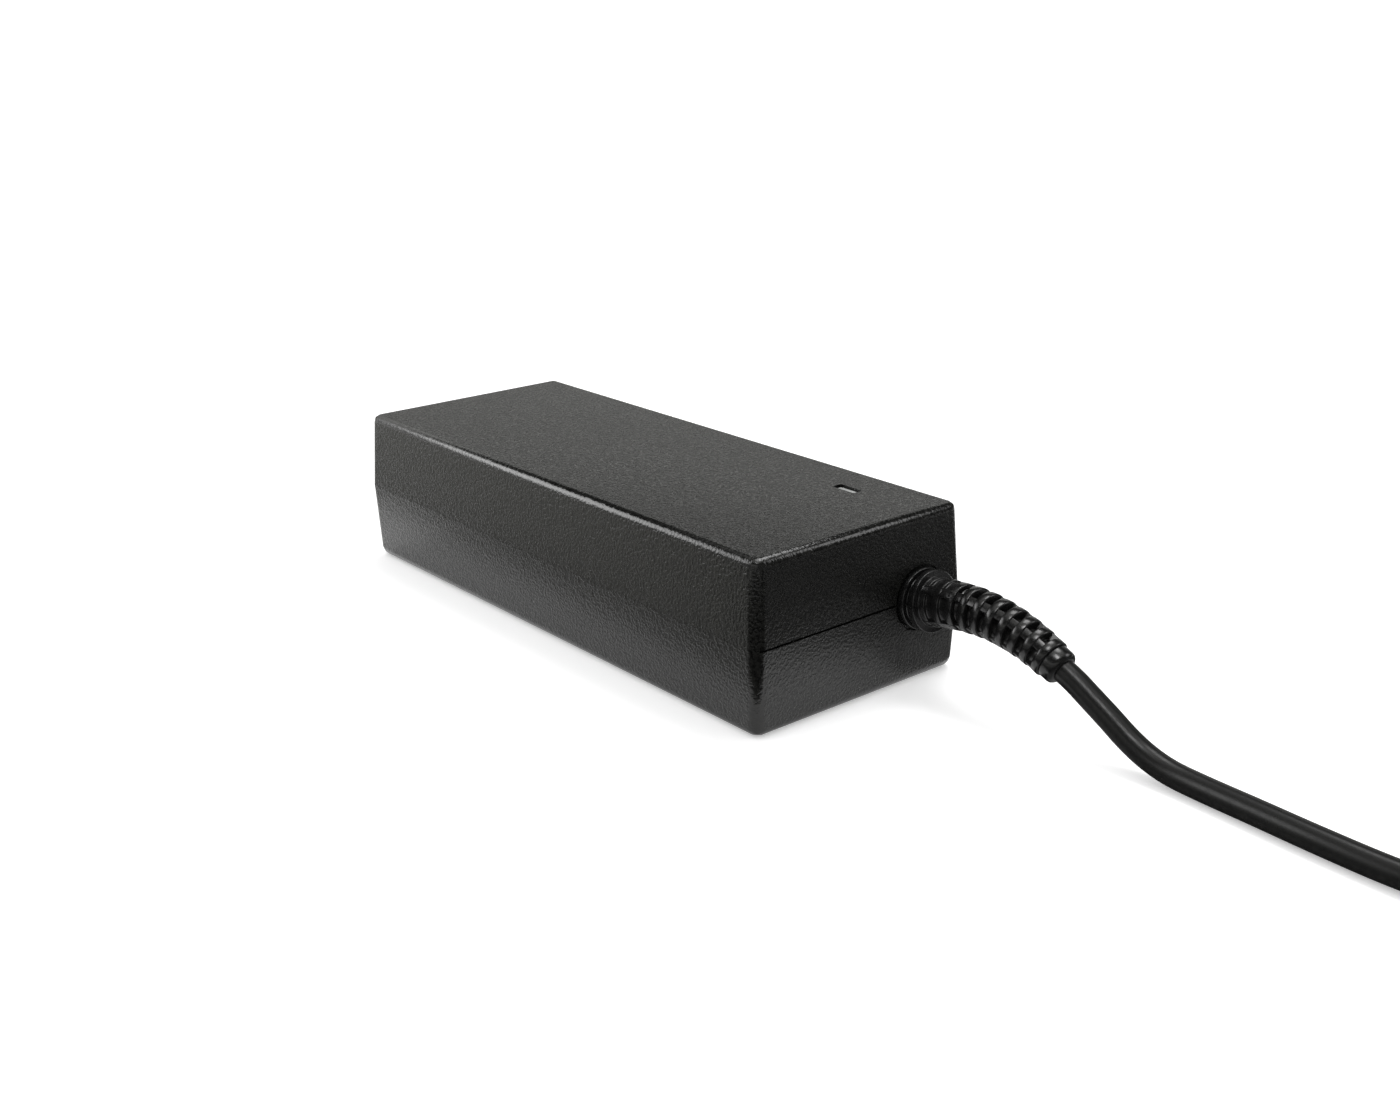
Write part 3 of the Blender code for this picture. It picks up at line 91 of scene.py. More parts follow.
# Distance out of the housing, distance sideways, and height: 0 on the floor, 1 at the exit
CORD_ROUTE = (
    (-0.0060, 0.0000, 1.000), (-0.0030, 0.0000, 1.000), (0.0000, 0.0000, 1.000),
    (0.0028, 0.0000, 1.012), (0.0058, 0.0000, 1.042), (0.0092, 0.0000, 1.075),
    (0.0138, 0.0000, 1.092), (0.0183, 0.0000, 1.070), (0.0227, 0.0000, 1.008),
    (0.0271, 0.0000, 0.905), (0.0304, 0.0000, 0.803), (0.0346, 0.0000, 0.669),
    (0.0378, 0.0000, 0.542), (0.0420, 0.0000, 0.373), (0.0456, 0.0000, 0.222),
    (0.0495, 0.0000, 0.098), (0.0540, -0.0001, 0.022), (0.0600, -0.0003, 0.000),
    (0.0700, -0.0008, 0.000), (0.0810, -0.0014, 0.000), (0.0920, -0.0016, 0.000),
    (0.1030, -0.0012, 0.000), (0.1140, -0.0006, 0.000), (0.1240, -0.0001, 0.000),
    (0.1320, 0.0000, 0.000), (0.1399, 0.0000, 0.000),
)
CORD_RISE_STARTS = 0.0920  # from here to 30 mm on, the cord rises onto the tie's thickness
CORD_RISE_LENGTH = 0.030
# From the coil's middle along X and Y, and height: 0 in the top layer, 1 at the plug's axis
TAIL_ROUTE = (
    (0.0050, 0.0295, 0.00), (0.0095, 0.0290, 0.07), (0.0140, 0.0272, 0.24),
    (0.0178, 0.0242, 0.50), (0.0204, 0.0206, 0.77), (0.0217, 0.0166, 0.95),
    (0.0220, 0.0125, 1.00), (0.0220, 0.0090, 1.00),
)
PLUG_GRIP_RADIUS = 0.0051
FIT_GAP = 0.0003  # between pieces that seat on each other
CORD_STEP = 0.0012  # between the points of the finished cord
CORD_ROUNDNESS = 8


def smooth_line(points, step):
    """Points about a step apart on a smooth curve through the given ones."""
    ends = [2 * points[0] - points[1], *points, 2 * points[-1] - points[-2]]
    line = [points[0]]
    for before, first, second, after in zip(ends, ends[1:], ends[2:], ends[3:]):
        count = max(1, round((second - first).length / step))
        for i in range(1, count + 1):
            t = i / count
            line.append(
                0.5
                * (
                    2 * first
                    + (second - before) * t
                    + (2 * before - 5 * first + 4 * second - after) * t**2
                    + (3 * first - before - 3 * second + after) * t**3
                )
            )
    return line


arrival = []
for out, sideways, rise in CORD_ROUTE:
    lift = min(max((out - CORD_RISE_STARTS) / CORD_RISE_LENGTH, 0.0), 1.0)
    height = CORD_FLOOR + rise * (CORD_EXIT.z - CORD_FLOOR) + lift * (COIL_FLOOR - CORD_FLOOR)
    arrival.append(Vector((CORD_EXIT.x + out, CORD_EXIT.y + sideways, height)))

coil_middle = CORD_EXIT + Vector((COIL_FROM_END, -COIL_RADIUS, 0))


def at_coil(x, y, z):
    """A place whose x and y count from the coil's middle, and whose height is the real one."""
    return Vector((coil_middle.x + x, coil_middle.y + y, z))


# Each layer spirals in or out, and climbs to the next over the half turn where that reverses
coiled = [at_coil(-CORD_DIAMETER, COIL_RADIUS, COIL_FLOOR)]
for i in range(COIL_LAYERS * TURNS_A_LAYER * POINTS_A_TURN + 1):
    turn = i / POINTS_A_TURN
    layer, within = divmod(turn, TURNS_A_LAYER)
    drawn_in = within if layer % 2 == 0 else TURNS_A_LAYER - within
    level = 0.0
    for reversal in range(1, COIL_LAYERS):
        share = min(max(2 * (turn - reversal * TURNS_A_LAYER) + 0.5, 0.0), 1.0)
        level += (1 - math.cos(math.pi * share)) / 2
    angle = math.pi / 2 - 2 * math.pi * turn
    radius = COIL_RADIUS - TURN_PITCH * drawn_in
    coiled.append(at_coil(
        radius * math.cos(angle), radius * math.sin(angle), COIL_FLOOR + LAYER_PITCH * level
    ))
top_layer = coiled[-1].z
coil_top = top_layer + CORD_RADIUS
plug_height = coil_top + FIT_GAP + PLUG_GRIP_RADIUS
tail = [coiled[-1] + Vector((CORD_DIAMETER, 0, 0))]
for x, y, rise in TAIL_ROUTE[1:]:
    tail.append(at_coil(x, y, top_layer + rise * (plug_height - top_layer)))

cord_start = arrival.index(min(arrival, key=lambda point: (point - CORD_EXIT).length))
cord_line = smooth_line(arrival[cord_start:] + coiled + tail, CORD_STEP)


def curve_through(name, line):
    """A curve object that runs straight from point to point of a line."""
    shape = bpy.data.curves.new(name, "CURVE")
    shape.dimensions = "3D"
    shape.twist_mode = "Z_UP"
    run = shape.splines.new("POLY")
    run.points.add(len(line) - 1)
    for point, place in zip(run.points, line):
        point.co = (*place, 1.0)
    curve = bpy.data.objects.new(name, shape)
    bpy.context.scene.collection.objects.link(curve)
    return curve


output_cord = curve_through("output_cord", cord_line)
output_cord.data.bevel_depth = CORD_RADIUS
output_cord.data.bevel_resolution = CORD_ROUNDNESS
output_cord.data.use_fill_caps = True


def spread(tree, value, starts, ends, low=0.0, high=1.0, easing="LINEAR"):
    """A value that goes from low to high while the given one goes from starts to ends."""
    spreading = tree.nodes.new("ShaderNodeMapRange")
    spreading.interpolation_type = easing
    for socket, setting in zip(spreading.inputs[1:5], (starts, ends, low, high)):
        socket.default_value = setting
    tree.links.new(value, spreading.inputs["Value"])
    return spreading.outputs["Result"]


def surface_grain():
    """A group that turns a place on a moulded surface into the height and the shine of its
    fine texture: rounded specks over a slower unevenness."""
    group = bpy.data.node_groups.new("surface grain", "ShaderNodeTree")
    for name, value in (("Speck Size", 0.0005), ("Unevenness", 0.4)):
        socket = group.interface.new_socket(name, in_out="INPUT", socket_type="NodeSocketFloat")
        socket.default_value = value
    group.interface.new_socket("Height", in_out="OUTPUT", socket_type="NodeSocketFloat")
    group.interface.new_socket("Shine", in_out="OUTPUT", socket_type="NodeSocketFloat")
    nodes, links = group.nodes, group.links
    given = nodes.new("NodeGroupInput")
    result = nodes.new("NodeGroupOutput")
    where = nodes.new("ShaderNodeTexCoord")
    scale = nodes.new("ShaderNodeMath")
    scale.operation = "DIVIDE"
    scale.inputs[0].default_value = 1.0
    links.new(given.outputs["Speck Size"], scale.inputs[1])
    specks = nodes.new("ShaderNodeTexNoise")
    specks.inputs["Detail"].default_value = 1.5
    links.new(where.outputs["Object"], specks.inputs["Vector"])
    links.new(scale.outputs[0], specks.inputs["Scale"])
    uneven = nodes.new("ShaderNodeTexNoise")
    uneven.inputs["Scale"].default_value = 90.0
    uneven.inputs["Detail"].default_value = 3.0
    links.new(where.outputs["Object"], uneven.inputs["Vector"])
    rounded = spread(group, specks.outputs["Fac"], 0.36, 0.64, easing="SMOOTHSTEP")
    links.new(rounded, result.inputs["Height"])
    shine = nodes.new("ShaderNodeMix")
    links.new(given.outputs["Unevenness"], shine.inputs["Factor"])
    links.new(rounded, shine.inputs["A"])
    links.new(uneven.outputs["Fac"], shine.inputs["B"])
    links.new(shine.outputs["Result"], result.inputs["Shine"])
    return group


GRAIN = surface_grain()


def new_finish(name):
    """A new material, with its node tree and its shader."""
    made = bpy.data.materials.new(name)
    made.use_nodes = True
    return made, made.node_tree, made.node_tree.nodes["Principled BSDF"]


def emboss(tree, height, strength, depth):
    """Gives the finish a relief that follows the height, this deep in metres."""
    bump = tree.nodes.new("ShaderNodeBump")
    bump.inputs["Strength"].default_value = strength
    bump.inputs["Distance"].default_value = depth
    tree.links.new(height, bump.inputs["Height"])
    tree.links.new(bump.outputs["Normal"], tree.nodes["Principled BSDF"].inputs["Normal"])


def grained(name, dark, light, rough, smooth, speck=0.0005, relief=0.00003, strength=0.4,
            metallic=0.0, shine=0.4, uneven=0.4):
    """A finish whose colour and roughness follow the grain between two values each."""
    made, tree, shader = new_finish(name)
    nodes, links = tree.nodes, tree.links
    shader.inputs["Metallic"].default_value = metallic
    shader.inputs["Specular IOR Level"].default_value = shine
    grain = nodes.new("ShaderNodeGroup")
    grain.node_tree = GRAIN
    grain.inputs["Speck Size"].default_value = speck
    grain.inputs["Unevenness"].default_value = uneven
    colour = nodes.new("ShaderNodeMix")
    colour.data_type = "RGBA"
    colour.inputs["A"].default_value = (*dark, 1.0)
    colour.inputs["B"].default_value = (*light, 1.0)
    links.new(grain.outputs["Shine"], colour.inputs["Factor"])
    links.new(colour.outputs["Result"], shader.inputs["Base Color"])
    roughness = spread(tree, grain.outputs["Shine"], 0.0, 1.0, rough, smooth)
    links.new(roughness, shader.inputs["Roughness"])
    emboss(tree, grain.outputs["Height"], strength, relief)
    return made


JACKET = grained(
    "satin cord jacket", (0.006, 0.006, 0.006), (0.010, 0.010, 0.0095), 0.36, 0.26,
    speck=0.0009, relief=0.00002, strength=0.15, shine=0.2,
)
output_cord.data.materials.append(JACKET)

# Strain relief
# One soft moulding over the cord: a flange that the recess of the housing takes, a second flange,
# a short sleeve with shallow slots, and a ribbed tapering length whose ribs four webs join.

RELIEF_SIDES = 64
NECK_RADIUS = 0.0034
FLANGE_RADIUS = 0.0057
INNER_FLANGE_RADIUS = 0.0052
BETWEEN_FLANGES = 0.0048
SLEEVE_RADIUS = 0.0045
RIB_COUNT = 7
RIB_PITCH = 0.0028
RIB_THICKNESS = 0.0016
FIRST_RIB_RADIUS = 0.0042
LAST_RIB_RADIUS = 0.0035
RIB_FOOT = 0.0022  # the radius from which a rib stands out, inside the core
RIB_RIM = 0.00026  # a rib's edges are rounded this much
CORE_START_RADIUS = 0.0032
CORE_END_RADIUS = 0.0026
COLLAR_RADIUS = 0.0032
COLLAR_LENGTH = 0.0028
RIBS_START = 0.0108  # from the end of the housing
RIBS_END = RIBS_START + RIB_COUNT * RIB_PITCH
COLLAR_END = RIBS_END + COLLAR_LENGTH
ROUTE_TO_HOUSING = -CORD_ROUTE[0][0]
BEND_POINTS = 60  # as many of the cord's points as the whole moulding bends along
SAME_PLACE = 0.00001  # places closer than this count as one


def take_up(piece):
    """Selects the piece alone, for the operators that follow."""
    bpy.ops.object.select_all(action="DESELECT")
    piece.select_set(True)
    bpy.context.view_layer.objects.active = piece


def settle(piece):
    """Applies the piece's modifiers, then its place, turn and scale."""
    take_up(piece)
    for modifier in list(piece.modifiers):
        bpy.ops.object.modifier_apply(modifier=modifier.name)
    bpy.ops.object.transform_apply(location=True, rotation=True, scale=True)
    piece.select_set(False)
    return piece


def rounded_edges(piece, width, segments=3, angle=30):
    """A bevel on every edge sharper than the angle, applied."""
    bevel = piece.modifiers.new("edges", "BEVEL")
    bevel.width = width
    bevel.segments = segments
    bevel.limit_method = "ANGLE"
    bevel.angle_limit = math.radians(angle)
    bevel.harden_normals = False
    return settle(piece)


def soften(piece, angle=40):
    """Smooth shading, except over edges sharper than the angle."""
    take_up(piece)
    bpy.ops.object.shade_smooth_by_angle(angle=math.radians(angle))
    piece.select_set(False)
    return piece


def drawn_out(name, stations, sides, closed_bore=False):
    """A round piece along X: a circle pulled out from station to station, each an (x, radius)."""
    bpy.ops.object.select_all(action="DESELECT")
    x, radius = stations[0]
    bpy.ops.mesh.primitive_circle_add(
        vertices=sides, radius=radius, fill_type="NOTHING" if closed_bore else "NGON",
        location=(x, 0, 0), rotation=(0, math.pi / 2, 0),
    )
    piece = bpy.context.object
    piece.name = name
    bpy.ops.object.transform_apply(location=True, rotation=True, scale=True)
    bpy.ops.object.mode_set(mode="EDIT")
    bpy.ops.mesh.select_mode(type="VERT")
    bpy.ops.mesh.select_all(action="SELECT")
    for next_x, next_radius in stations[1:]:
        bpy.ops.mesh.extrude_region_move(
            TRANSFORM_OT_translate={"value": (next_x - x, 0, 0)}
        )
        factor = next_radius / radius
        bpy.ops.transform.resize(value=(1, factor, factor), center_override=(next_x, 0, 0))
        x, radius = next_x, next_radius
    bpy.ops.mesh.select_all(action="SELECT")
    bpy.ops.mesh.remove_doubles(threshold=0.000001)
    bpy.ops.mesh.normals_make_consistent(inside=False)
    bpy.ops.object.mode_set(mode="OBJECT")
    return piece


def pick(piece, kind, rule):
    """Enters edit mode with only those faces, or edges, selected that the rule chooses: by a
    face, or by the places of an edge's two ends."""
    take_up(piece)
    bpy.ops.object.mode_set(mode="EDIT")
    bpy.ops.mesh.select_mode(type=kind)
    bpy.ops.mesh.select_all(action="DESELECT")
    bpy.ops.object.mode_set(mode="OBJECT")
    if kind == "FACE":
        for face in piece.data.polygons:
            face.select = rule(face)
    else:
        verts = piece.data.vertices
        for edge in piece.data.edges:
            first, second = edge.vertices
            edge.select = rule(verts[first].co, verts[second].co)
    bpy.ops.object.mode_set(mode="EDIT")


def join_into(name, pieces):
    """Several pieces made one object."""
    bpy.ops.object.select_all(action="DESELECT")
    for piece in pieces:
        piece.select_set(True)
    bpy.context.view_layer.objects.active = pieces[0]
    bpy.ops.object.join()
    joined = bpy.context.object
    joined.name = joined.data.name = name
    joined.select_set(False)
    return joined


# From the flange inside the wall to the collar: (distance out of the housing, radius)
RELIEF_PROFILE = (
    (-0.0042, INNER_FLANGE_RADIUS), (-0.0027, INNER_FLANGE_RADIUS),
    (-0.0027, NECK_RADIUS), (-0.0005, NECK_RADIUS),
    (-0.0005, FLANGE_RADIUS), (0.0010, FLANGE_RADIUS),
    (0.0010, BETWEEN_FLANGES), (0.0020, BETWEEN_FLANGES),
    (0.0020, FLANGE_RADIUS), (0.0035, FLANGE_RADIUS), (0.0035, SLEEVE_RADIUS),
    # two shallow slots round the sleeve
    (0.0049, 0.00446), (0.0049, 0.0040), (0.0064, 0.0040), (0.0064, 0.0044),
    (0.0079, 0.00436), (0.0079, 0.0039), (0.0094, 0.0039), (0.0094, 0.0043),
    # the core under the ribs
    (RIBS_START, FIRST_RIB_RADIUS), (RIBS_START, CORE_START_RADIUS),
    (RIBS_END, CORE_END_RADIUS), (RIBS_END, COLLAR_RADIUS),
    # the collar's rounded end
    (COLLAR_END - 0.0011, COLLAR_RADIUS), (COLLAR_END - 0.0006, COLLAR_RADIUS - 0.00012),
    (COLLAR_END - 0.0002, COLLAR_RADIUS - 0.00045), (COLLAR_END, CORD_RADIUS),
)
relief_core = drawn_out("relief_core", RELIEF_PROFILE, RELIEF_SIDES)
rounded_edges(relief_core, 0.00022)
ribs = []
for i in range(RIB_COUNT):
    radius = FIRST_RIB_RADIUS + (LAST_RIB_RADIUS - FIRST_RIB_RADIUS) * i / (RIB_COUNT - 1)
    start = RIBS_START + (i + 1) * RIB_PITCH - RIB_THICKNESS
    end = start + RIB_THICKNESS
    ribs.append(drawn_out(
        f"rib_{i + 1}",
        (
            (start, RIB_FOOT), (start, radius - RIB_RIM),
            (start + 0.3 * RIB_RIM, radius - 0.3 * RIB_RIM), (start + RIB_RIM, radius),
            (end - RIB_RIM, radius), (end - 0.3 * RIB_RIM, radius - 0.3 * RIB_RIM),
            (end, radius - RIB_RIM), (end, RIB_FOOT),
        ),
        RELIEF_SIDES,
    ))

WEB_THICKNESS = 0.0017
WEB_BELOW_RIBS = 0.0002
SLEEVE_START = 0.0030


def block(name, low, high):
    """A plain box between two corners, for cutting or for shaping further."""
    bpy.ops.object.select_all(action="DESELECT")
    low, high = Vector(low), Vector(high)
    bpy.ops.mesh.primitive_cube_add(size=1, location=(low + high) / 2)
    made = bpy.context.object
    made.name = name
    made.scale = high - low
    bpy.ops.object.transform_apply(location=True, rotation=True, scale=True)
    made.select_set(False)
    return made


def web_pair(name, start, end, first_radius, last_radius, cuts):
    """Two bars that cross at the cord, so that four webs stand out at the corners between up,
    down and the sides. They taper, and are cut up along their length so that they can bend."""
    pair = []
    for number, turn in enumerate((math.pi / 4, -math.pi / 4), 1):
        web = block(
            f"{name}_{number}", (start, -WEB_THICKNESS / 2, -first_radius),
            (end, WEB_THICKNESS / 2, first_radius),
        )
        pick(web, "FACE", lambda face: face.center.x > end - SAME_PLACE)
        bpy.ops.transform.resize(
            value=(1, 1, last_radius / first_radius), center_override=(end, 0, 0)
        )
        for cut in range(1, cuts):
            bpy.ops.mesh.select_all(action="SELECT")
            bpy.ops.mesh.bisect(
                plane_co=(start + cut * (end - start) / cuts, 0, 0), plane_no=(1, 0, 0)
            )
        bpy.ops.object.mode_set(mode="OBJECT")
        rounded_edges(web, 0.0001, 2)
        web.rotation_euler.x = turn
        pair.append(settle(web))
    return pair


webs = web_pair(
    "web", RIBS_START, RIBS_END, FIRST_RIB_RADIUS - WEB_BELOW_RIBS,
    LAST_RIB_RADIUS - WEB_BELOW_RIBS, 2 * RIB_COUNT,
)
webs += web_pair("sleeve_web", SLEEVE_START, RIBS_START, SLEEVE_RADIUS, FIRST_RIB_RADIUS, 4)

strain_relief_sleeve = join_into("strain_relief_sleeve", [relief_core, *ribs, *webs])
strain_relief_sleeve.location.x = ROUTE_TO_HOUSING
settle(strain_relief_sleeve)
guide = curve_through("bend_guide", smooth_line(arrival, CORD_STEP)[:BEND_POINTS])
bend = strain_relief_sleeve.modifiers.new("bend", "CURVE")
bend.object = guide
bend.deform_axis = "POS_X"
settle(strain_relief_sleeve)
bpy.data.objects.remove(guide)
soften(strain_relief_sleeve, 50)
MOULDED_SLEEVE = grained(
    "soft sleeve moulding", (0.003, 0.003, 0.003), (0.006, 0.006, 0.006), 0.29, 0.18,
    speck=0.0006, relief=0.00001, strength=0.15, shine=0.4,
)
strain_relief_sleeve.data.materials.append(MOULDED_SLEEVE)
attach(strain_relief_sleeve, "root")
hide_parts("strain_relief")

# Housing
# Two black moulded shells with a fine spark-eroded texture, drafted away from the seam, where they
# lap and are welded. Their corners are rounded, and the seam shows as a thin dark groove.

HALF_LENGTH = 0.064
HALF_WIDTH = 0.0253
CASE_HEIGHT = 0.0321
SEAM_HEIGHT = 0.0164
SEAM_GAP = 0.00004
END_GROOVE = 0.0004  # the seam stands open this much across the two ends
END_GROOVE_DEPTH = 0.0008
END_GROOVE_FROM_CORNER = 0.0012
WALL = 0.002
UPPER_DRAFT = 3.08  # degrees
LOWER_DRAFT = 2.3
CORNER_RADIUS = 0.0023
TOP_EDGE_RADIUS = 0.0016
BASE_EDGE_RADIUS = 0.0021
CORNER_STEPS = 10
LAP_DEPTH = 0.0012
INLET_WIDTH = 0.0285
INLET_HEIGHT = 0.0205
OPENING_CHAMFER = 0.0052
OPENING_DEPTH = 0.009  # from the end of the housing, through the wall
RELIEF_HOLE_RADIUS = 0.0037
RELIEF_RECESS_RADIUS = 0.0062
RELIEF_RECESS_DEPTH = 0.0008
SHELL_SPARE = 0.003  # each shell starts this far past the seam, and is then cut back
CUT_PAST = 0.006  # cutters reach this far past what they cut
CUT_ACROSS = 0.1  # half the width of cutters that reach across the whole housing


def carve(piece, cutter, operation="DIFFERENCE"):
    """Cuts the cutter out of the piece, or adds it, and removes the cutter."""
    carving = piece.modifiers.new("carving", "BOOLEAN")
    carving.operation = operation
    carving.solver = "EXACT"
    carving.object = cutter
    settle(piece)
    bpy.data.objects.remove(cutter)
    return piece


def crease_weights(piece, choose, weight):
    """Gives a bevel weight to the edges that a rule chooses by the places of their ends."""
    pick(piece, "EDGE", choose)
    bpy.ops.transform.edge_bevelweight(value=weight)
    bpy.ops.object.mode_set(mode="OBJECT")
    piece.select_set(False)


def weighted_bevel(piece, width, segments):
    """A bevel of the edges that carry a weight, applied."""
    bevel = piece.modifiers.new("corners", "BEVEL")
    bevel.width = width
    bevel.segments = segments
    bevel.limit_method = "WEIGHT"
    return settle(piece)


def upright(a, b):
    """Whether an edge between two places leaves the level it starts on."""
    return abs(a.z - b.z) > SAME_PLACE


def housing_shell(name, outer_z, draft, edge_radius):
    """One shell, from the seam to its closed end at outer_z, open at the seam."""
    upward = 1 if outer_z > SEAM_HEIGHT else -1
    past_seam = SEAM_HEIGHT - upward * SHELL_SPARE
    low, high = min(past_seam, outer_z), max(past_seam, outer_z)
    shell = block(name, (-HALF_LENGTH, -HALF_WIDTH, low), (HALF_LENGTH, HALF_WIDTH, high))
    for z in (past_seam, outer_z):
        lean = upward * (z - SEAM_HEIGHT) * math.tan(math.radians(draft))
        pick(shell, "FACE", lambda face: abs(face.center.z - z) < SAME_PLACE)
        bpy.ops.transform.resize(
            value=(1 - lean / HALF_LENGTH, 1 - lean / HALF_WIDTH, 1), center_override=(0, 0, z)
        )
        if z == past_seam:
            bpy.ops.mesh.delete(type="ONLY_FACE")
        bpy.ops.object.mode_set(mode="OBJECT")
    crease_weights(shell, upright, 1.0)
    crease_weights(
        shell, lambda a, b: abs(a.z - outer_z) + abs(b.z - outer_z) < SAME_PLACE,
        edge_radius / CORNER_RADIUS,
    )
    wall = shell.modifiers.new("wall", "SOLIDIFY")
    wall.thickness = WALL
    wall.offset = -1
    wall.use_even_offset = True
    settle(shell)
    return weighted_bevel(shell, CORNER_RADIUS, CORNER_STEPS)


def lap_outline(name, inward, low, high):
    """A block with the outline of the lap joint, this far inside the housing's widest outline."""
    outline = block(
        name, (inward - HALF_LENGTH, inward - HALF_WIDTH, low),
        (HALF_LENGTH - inward, HALF_WIDTH - inward, high),
    )
    crease_weights(outline, upright, 1.0)
    return weighted_bevel(outline, CORNER_RADIUS - inward, CORNER_STEPS)


def inlet_bar(name, start, end, width, height, chamfer):
    """A bar along X with the inlet's keyed section, its two upper corners cut off."""
    bar = block(
        name, (start, -width / 2, SEAM_HEIGHT - height / 2),
        (end, width / 2, SEAM_HEIGHT + height / 2),
    )
    pick(bar, "EDGE", lambda a, b: abs(a.x - b.x) > SAME_PLACE and min(a.z, b.z) > SEAM_HEIGHT)
    bpy.ops.mesh.bevel(offset=chamfer, segments=1)
    bpy.ops.object.mode_set(mode="OBJECT")
    bar.select_set(False)
    return bar


def round_hole(name, radius, start, end):
    """A round cutter along the cord's exit, between two places along X."""
    bpy.ops.object.select_all(action="DESELECT")
    bpy.ops.mesh.primitive_cylinder_add(
        vertices=64, radius=radius, depth=end - start, rotation=(0, math.pi / 2, 0),
        location=((start + end) / 2, CORD_EXIT.y, CORD_EXIT.z),
    )
    made = bpy.context.object
    made.name = name
    bpy.ops.object.transform_apply(location=True, rotation=True, scale=True)
    made.select_set(False)
    return made


def open_ends(shell):
    """The seam's groove across the ends, the inlet's opening, and the relief's hole and recess."""
    for end in (-HALF_LENGTH, HALF_LENGTH):
        half_groove = HALF_WIDTH - END_GROOVE_FROM_CORNER
        carve(shell, block(
            "end_groove",
            (end - END_GROOVE_DEPTH, -half_groove, SEAM_HEIGHT - END_GROOVE / 2),
            (end + END_GROOVE_DEPTH, half_groove, SEAM_HEIGHT + END_GROOVE / 2),
        ))
    carve(shell, inlet_bar(
        "inlet_opening", -HALF_LENGTH - CUT_PAST, -HALF_LENGTH + OPENING_DEPTH,
        INLET_WIDTH + 2 * FIT_GAP, INLET_HEIGHT + 2 * FIT_GAP, OPENING_CHAMFER,
    ))
    outside = HALF_LENGTH + CUT_PAST
    carve(shell, round_hole(
        "relief_hole", RELIEF_HOLE_RADIUS, HALF_LENGTH - CUT_PAST, outside
    ))
    carve(shell, round_hole(
        "relief_recess", RELIEF_RECESS_RADIUS, HALF_LENGTH - RELIEF_RECESS_DEPTH, outside
    ))


upper_housing = housing_shell("upper_housing", CASE_HEIGHT, UPPER_DRAFT, TOP_EDGE_RADIUS)
carve(upper_housing, block(
    "below_seam", (-CUT_ACROSS, -CUT_ACROSS, 0),
    (CUT_ACROSS, CUT_ACROSS, SEAM_HEIGHT + SEAM_GAP / 2),
))
rebate = lap_outline("rebate", WALL / 2 - FIT_GAP, 0, SEAM_HEIGHT + LAP_DEPTH + FIT_GAP)
carve(upper_housing, rebate)
open_ends(upper_housing)

# The window's slot goes through the top near the cord's end
SLOT_MIDDLE = Vector((0.04435, 0.01465))
SLOT_LENGTH = 0.0056
SLOT_WIDTH = 0.0022
SLOT_CORNER = 0.0003
SLOT_CORNER_STEPS = 4
slot_half = Vector((SLOT_LENGTH / 2, SLOT_WIDTH / 2))
window_slot = block(
    "window_slot", (*(SLOT_MIDDLE - slot_half), CASE_HEIGHT - 2 * WALL),
    (*(SLOT_MIDDLE + slot_half), CASE_HEIGHT + WALL),
)
crease_weights(window_slot, upright, 1.0)
weighted_bevel(window_slot, SLOT_CORNER, SLOT_CORNER_STEPS)
carve(upper_housing, window_slot)

lower_housing = housing_shell("lower_housing", 0.0, LOWER_DRAFT, BASE_EDGE_RADIUS)
carve(lower_housing, block(
    "above_tongue", (-CUT_ACROSS, -CUT_ACROSS, SEAM_HEIGHT + LAP_DEPTH),
    (CUT_ACROSS, CUT_ACROSS, CASE_HEIGHT + CUT_PAST),
))
seam_step = block(
    "seam_step", (-CUT_ACROSS, -CUT_ACROSS, SEAM_HEIGHT - SEAM_GAP / 2),
    (CUT_ACROSS, CUT_ACROSS, CASE_HEIGHT),
)
carve(seam_step, lap_outline("tongue", WALL / 2, 0, CASE_HEIGHT + CUT_PAST))
carve(lower_housing, seam_step)
open_ends(lower_housing)

MOULDED_HOUSING = grained(
    "textured housing plastic", (0.0015, 0.0015, 0.0014), (0.007, 0.007, 0.0063), 0.34, 0.22,
    speck=0.00052, relief=0.00008, strength=1.0, uneven=0.15,
)
WALL_GRAIN = 0.52  # the share of the texture's depth on the walls, so that they leave the mould
EDGE_GRAIN = 0.25  # the share that is left on the rounded edges
EDGE_ROUGHNESS = 0.18
# How much of a face's normal lies along one axis of the object, on a full curve and on a flat
CURVED = 0.97
FLAT = 0.996


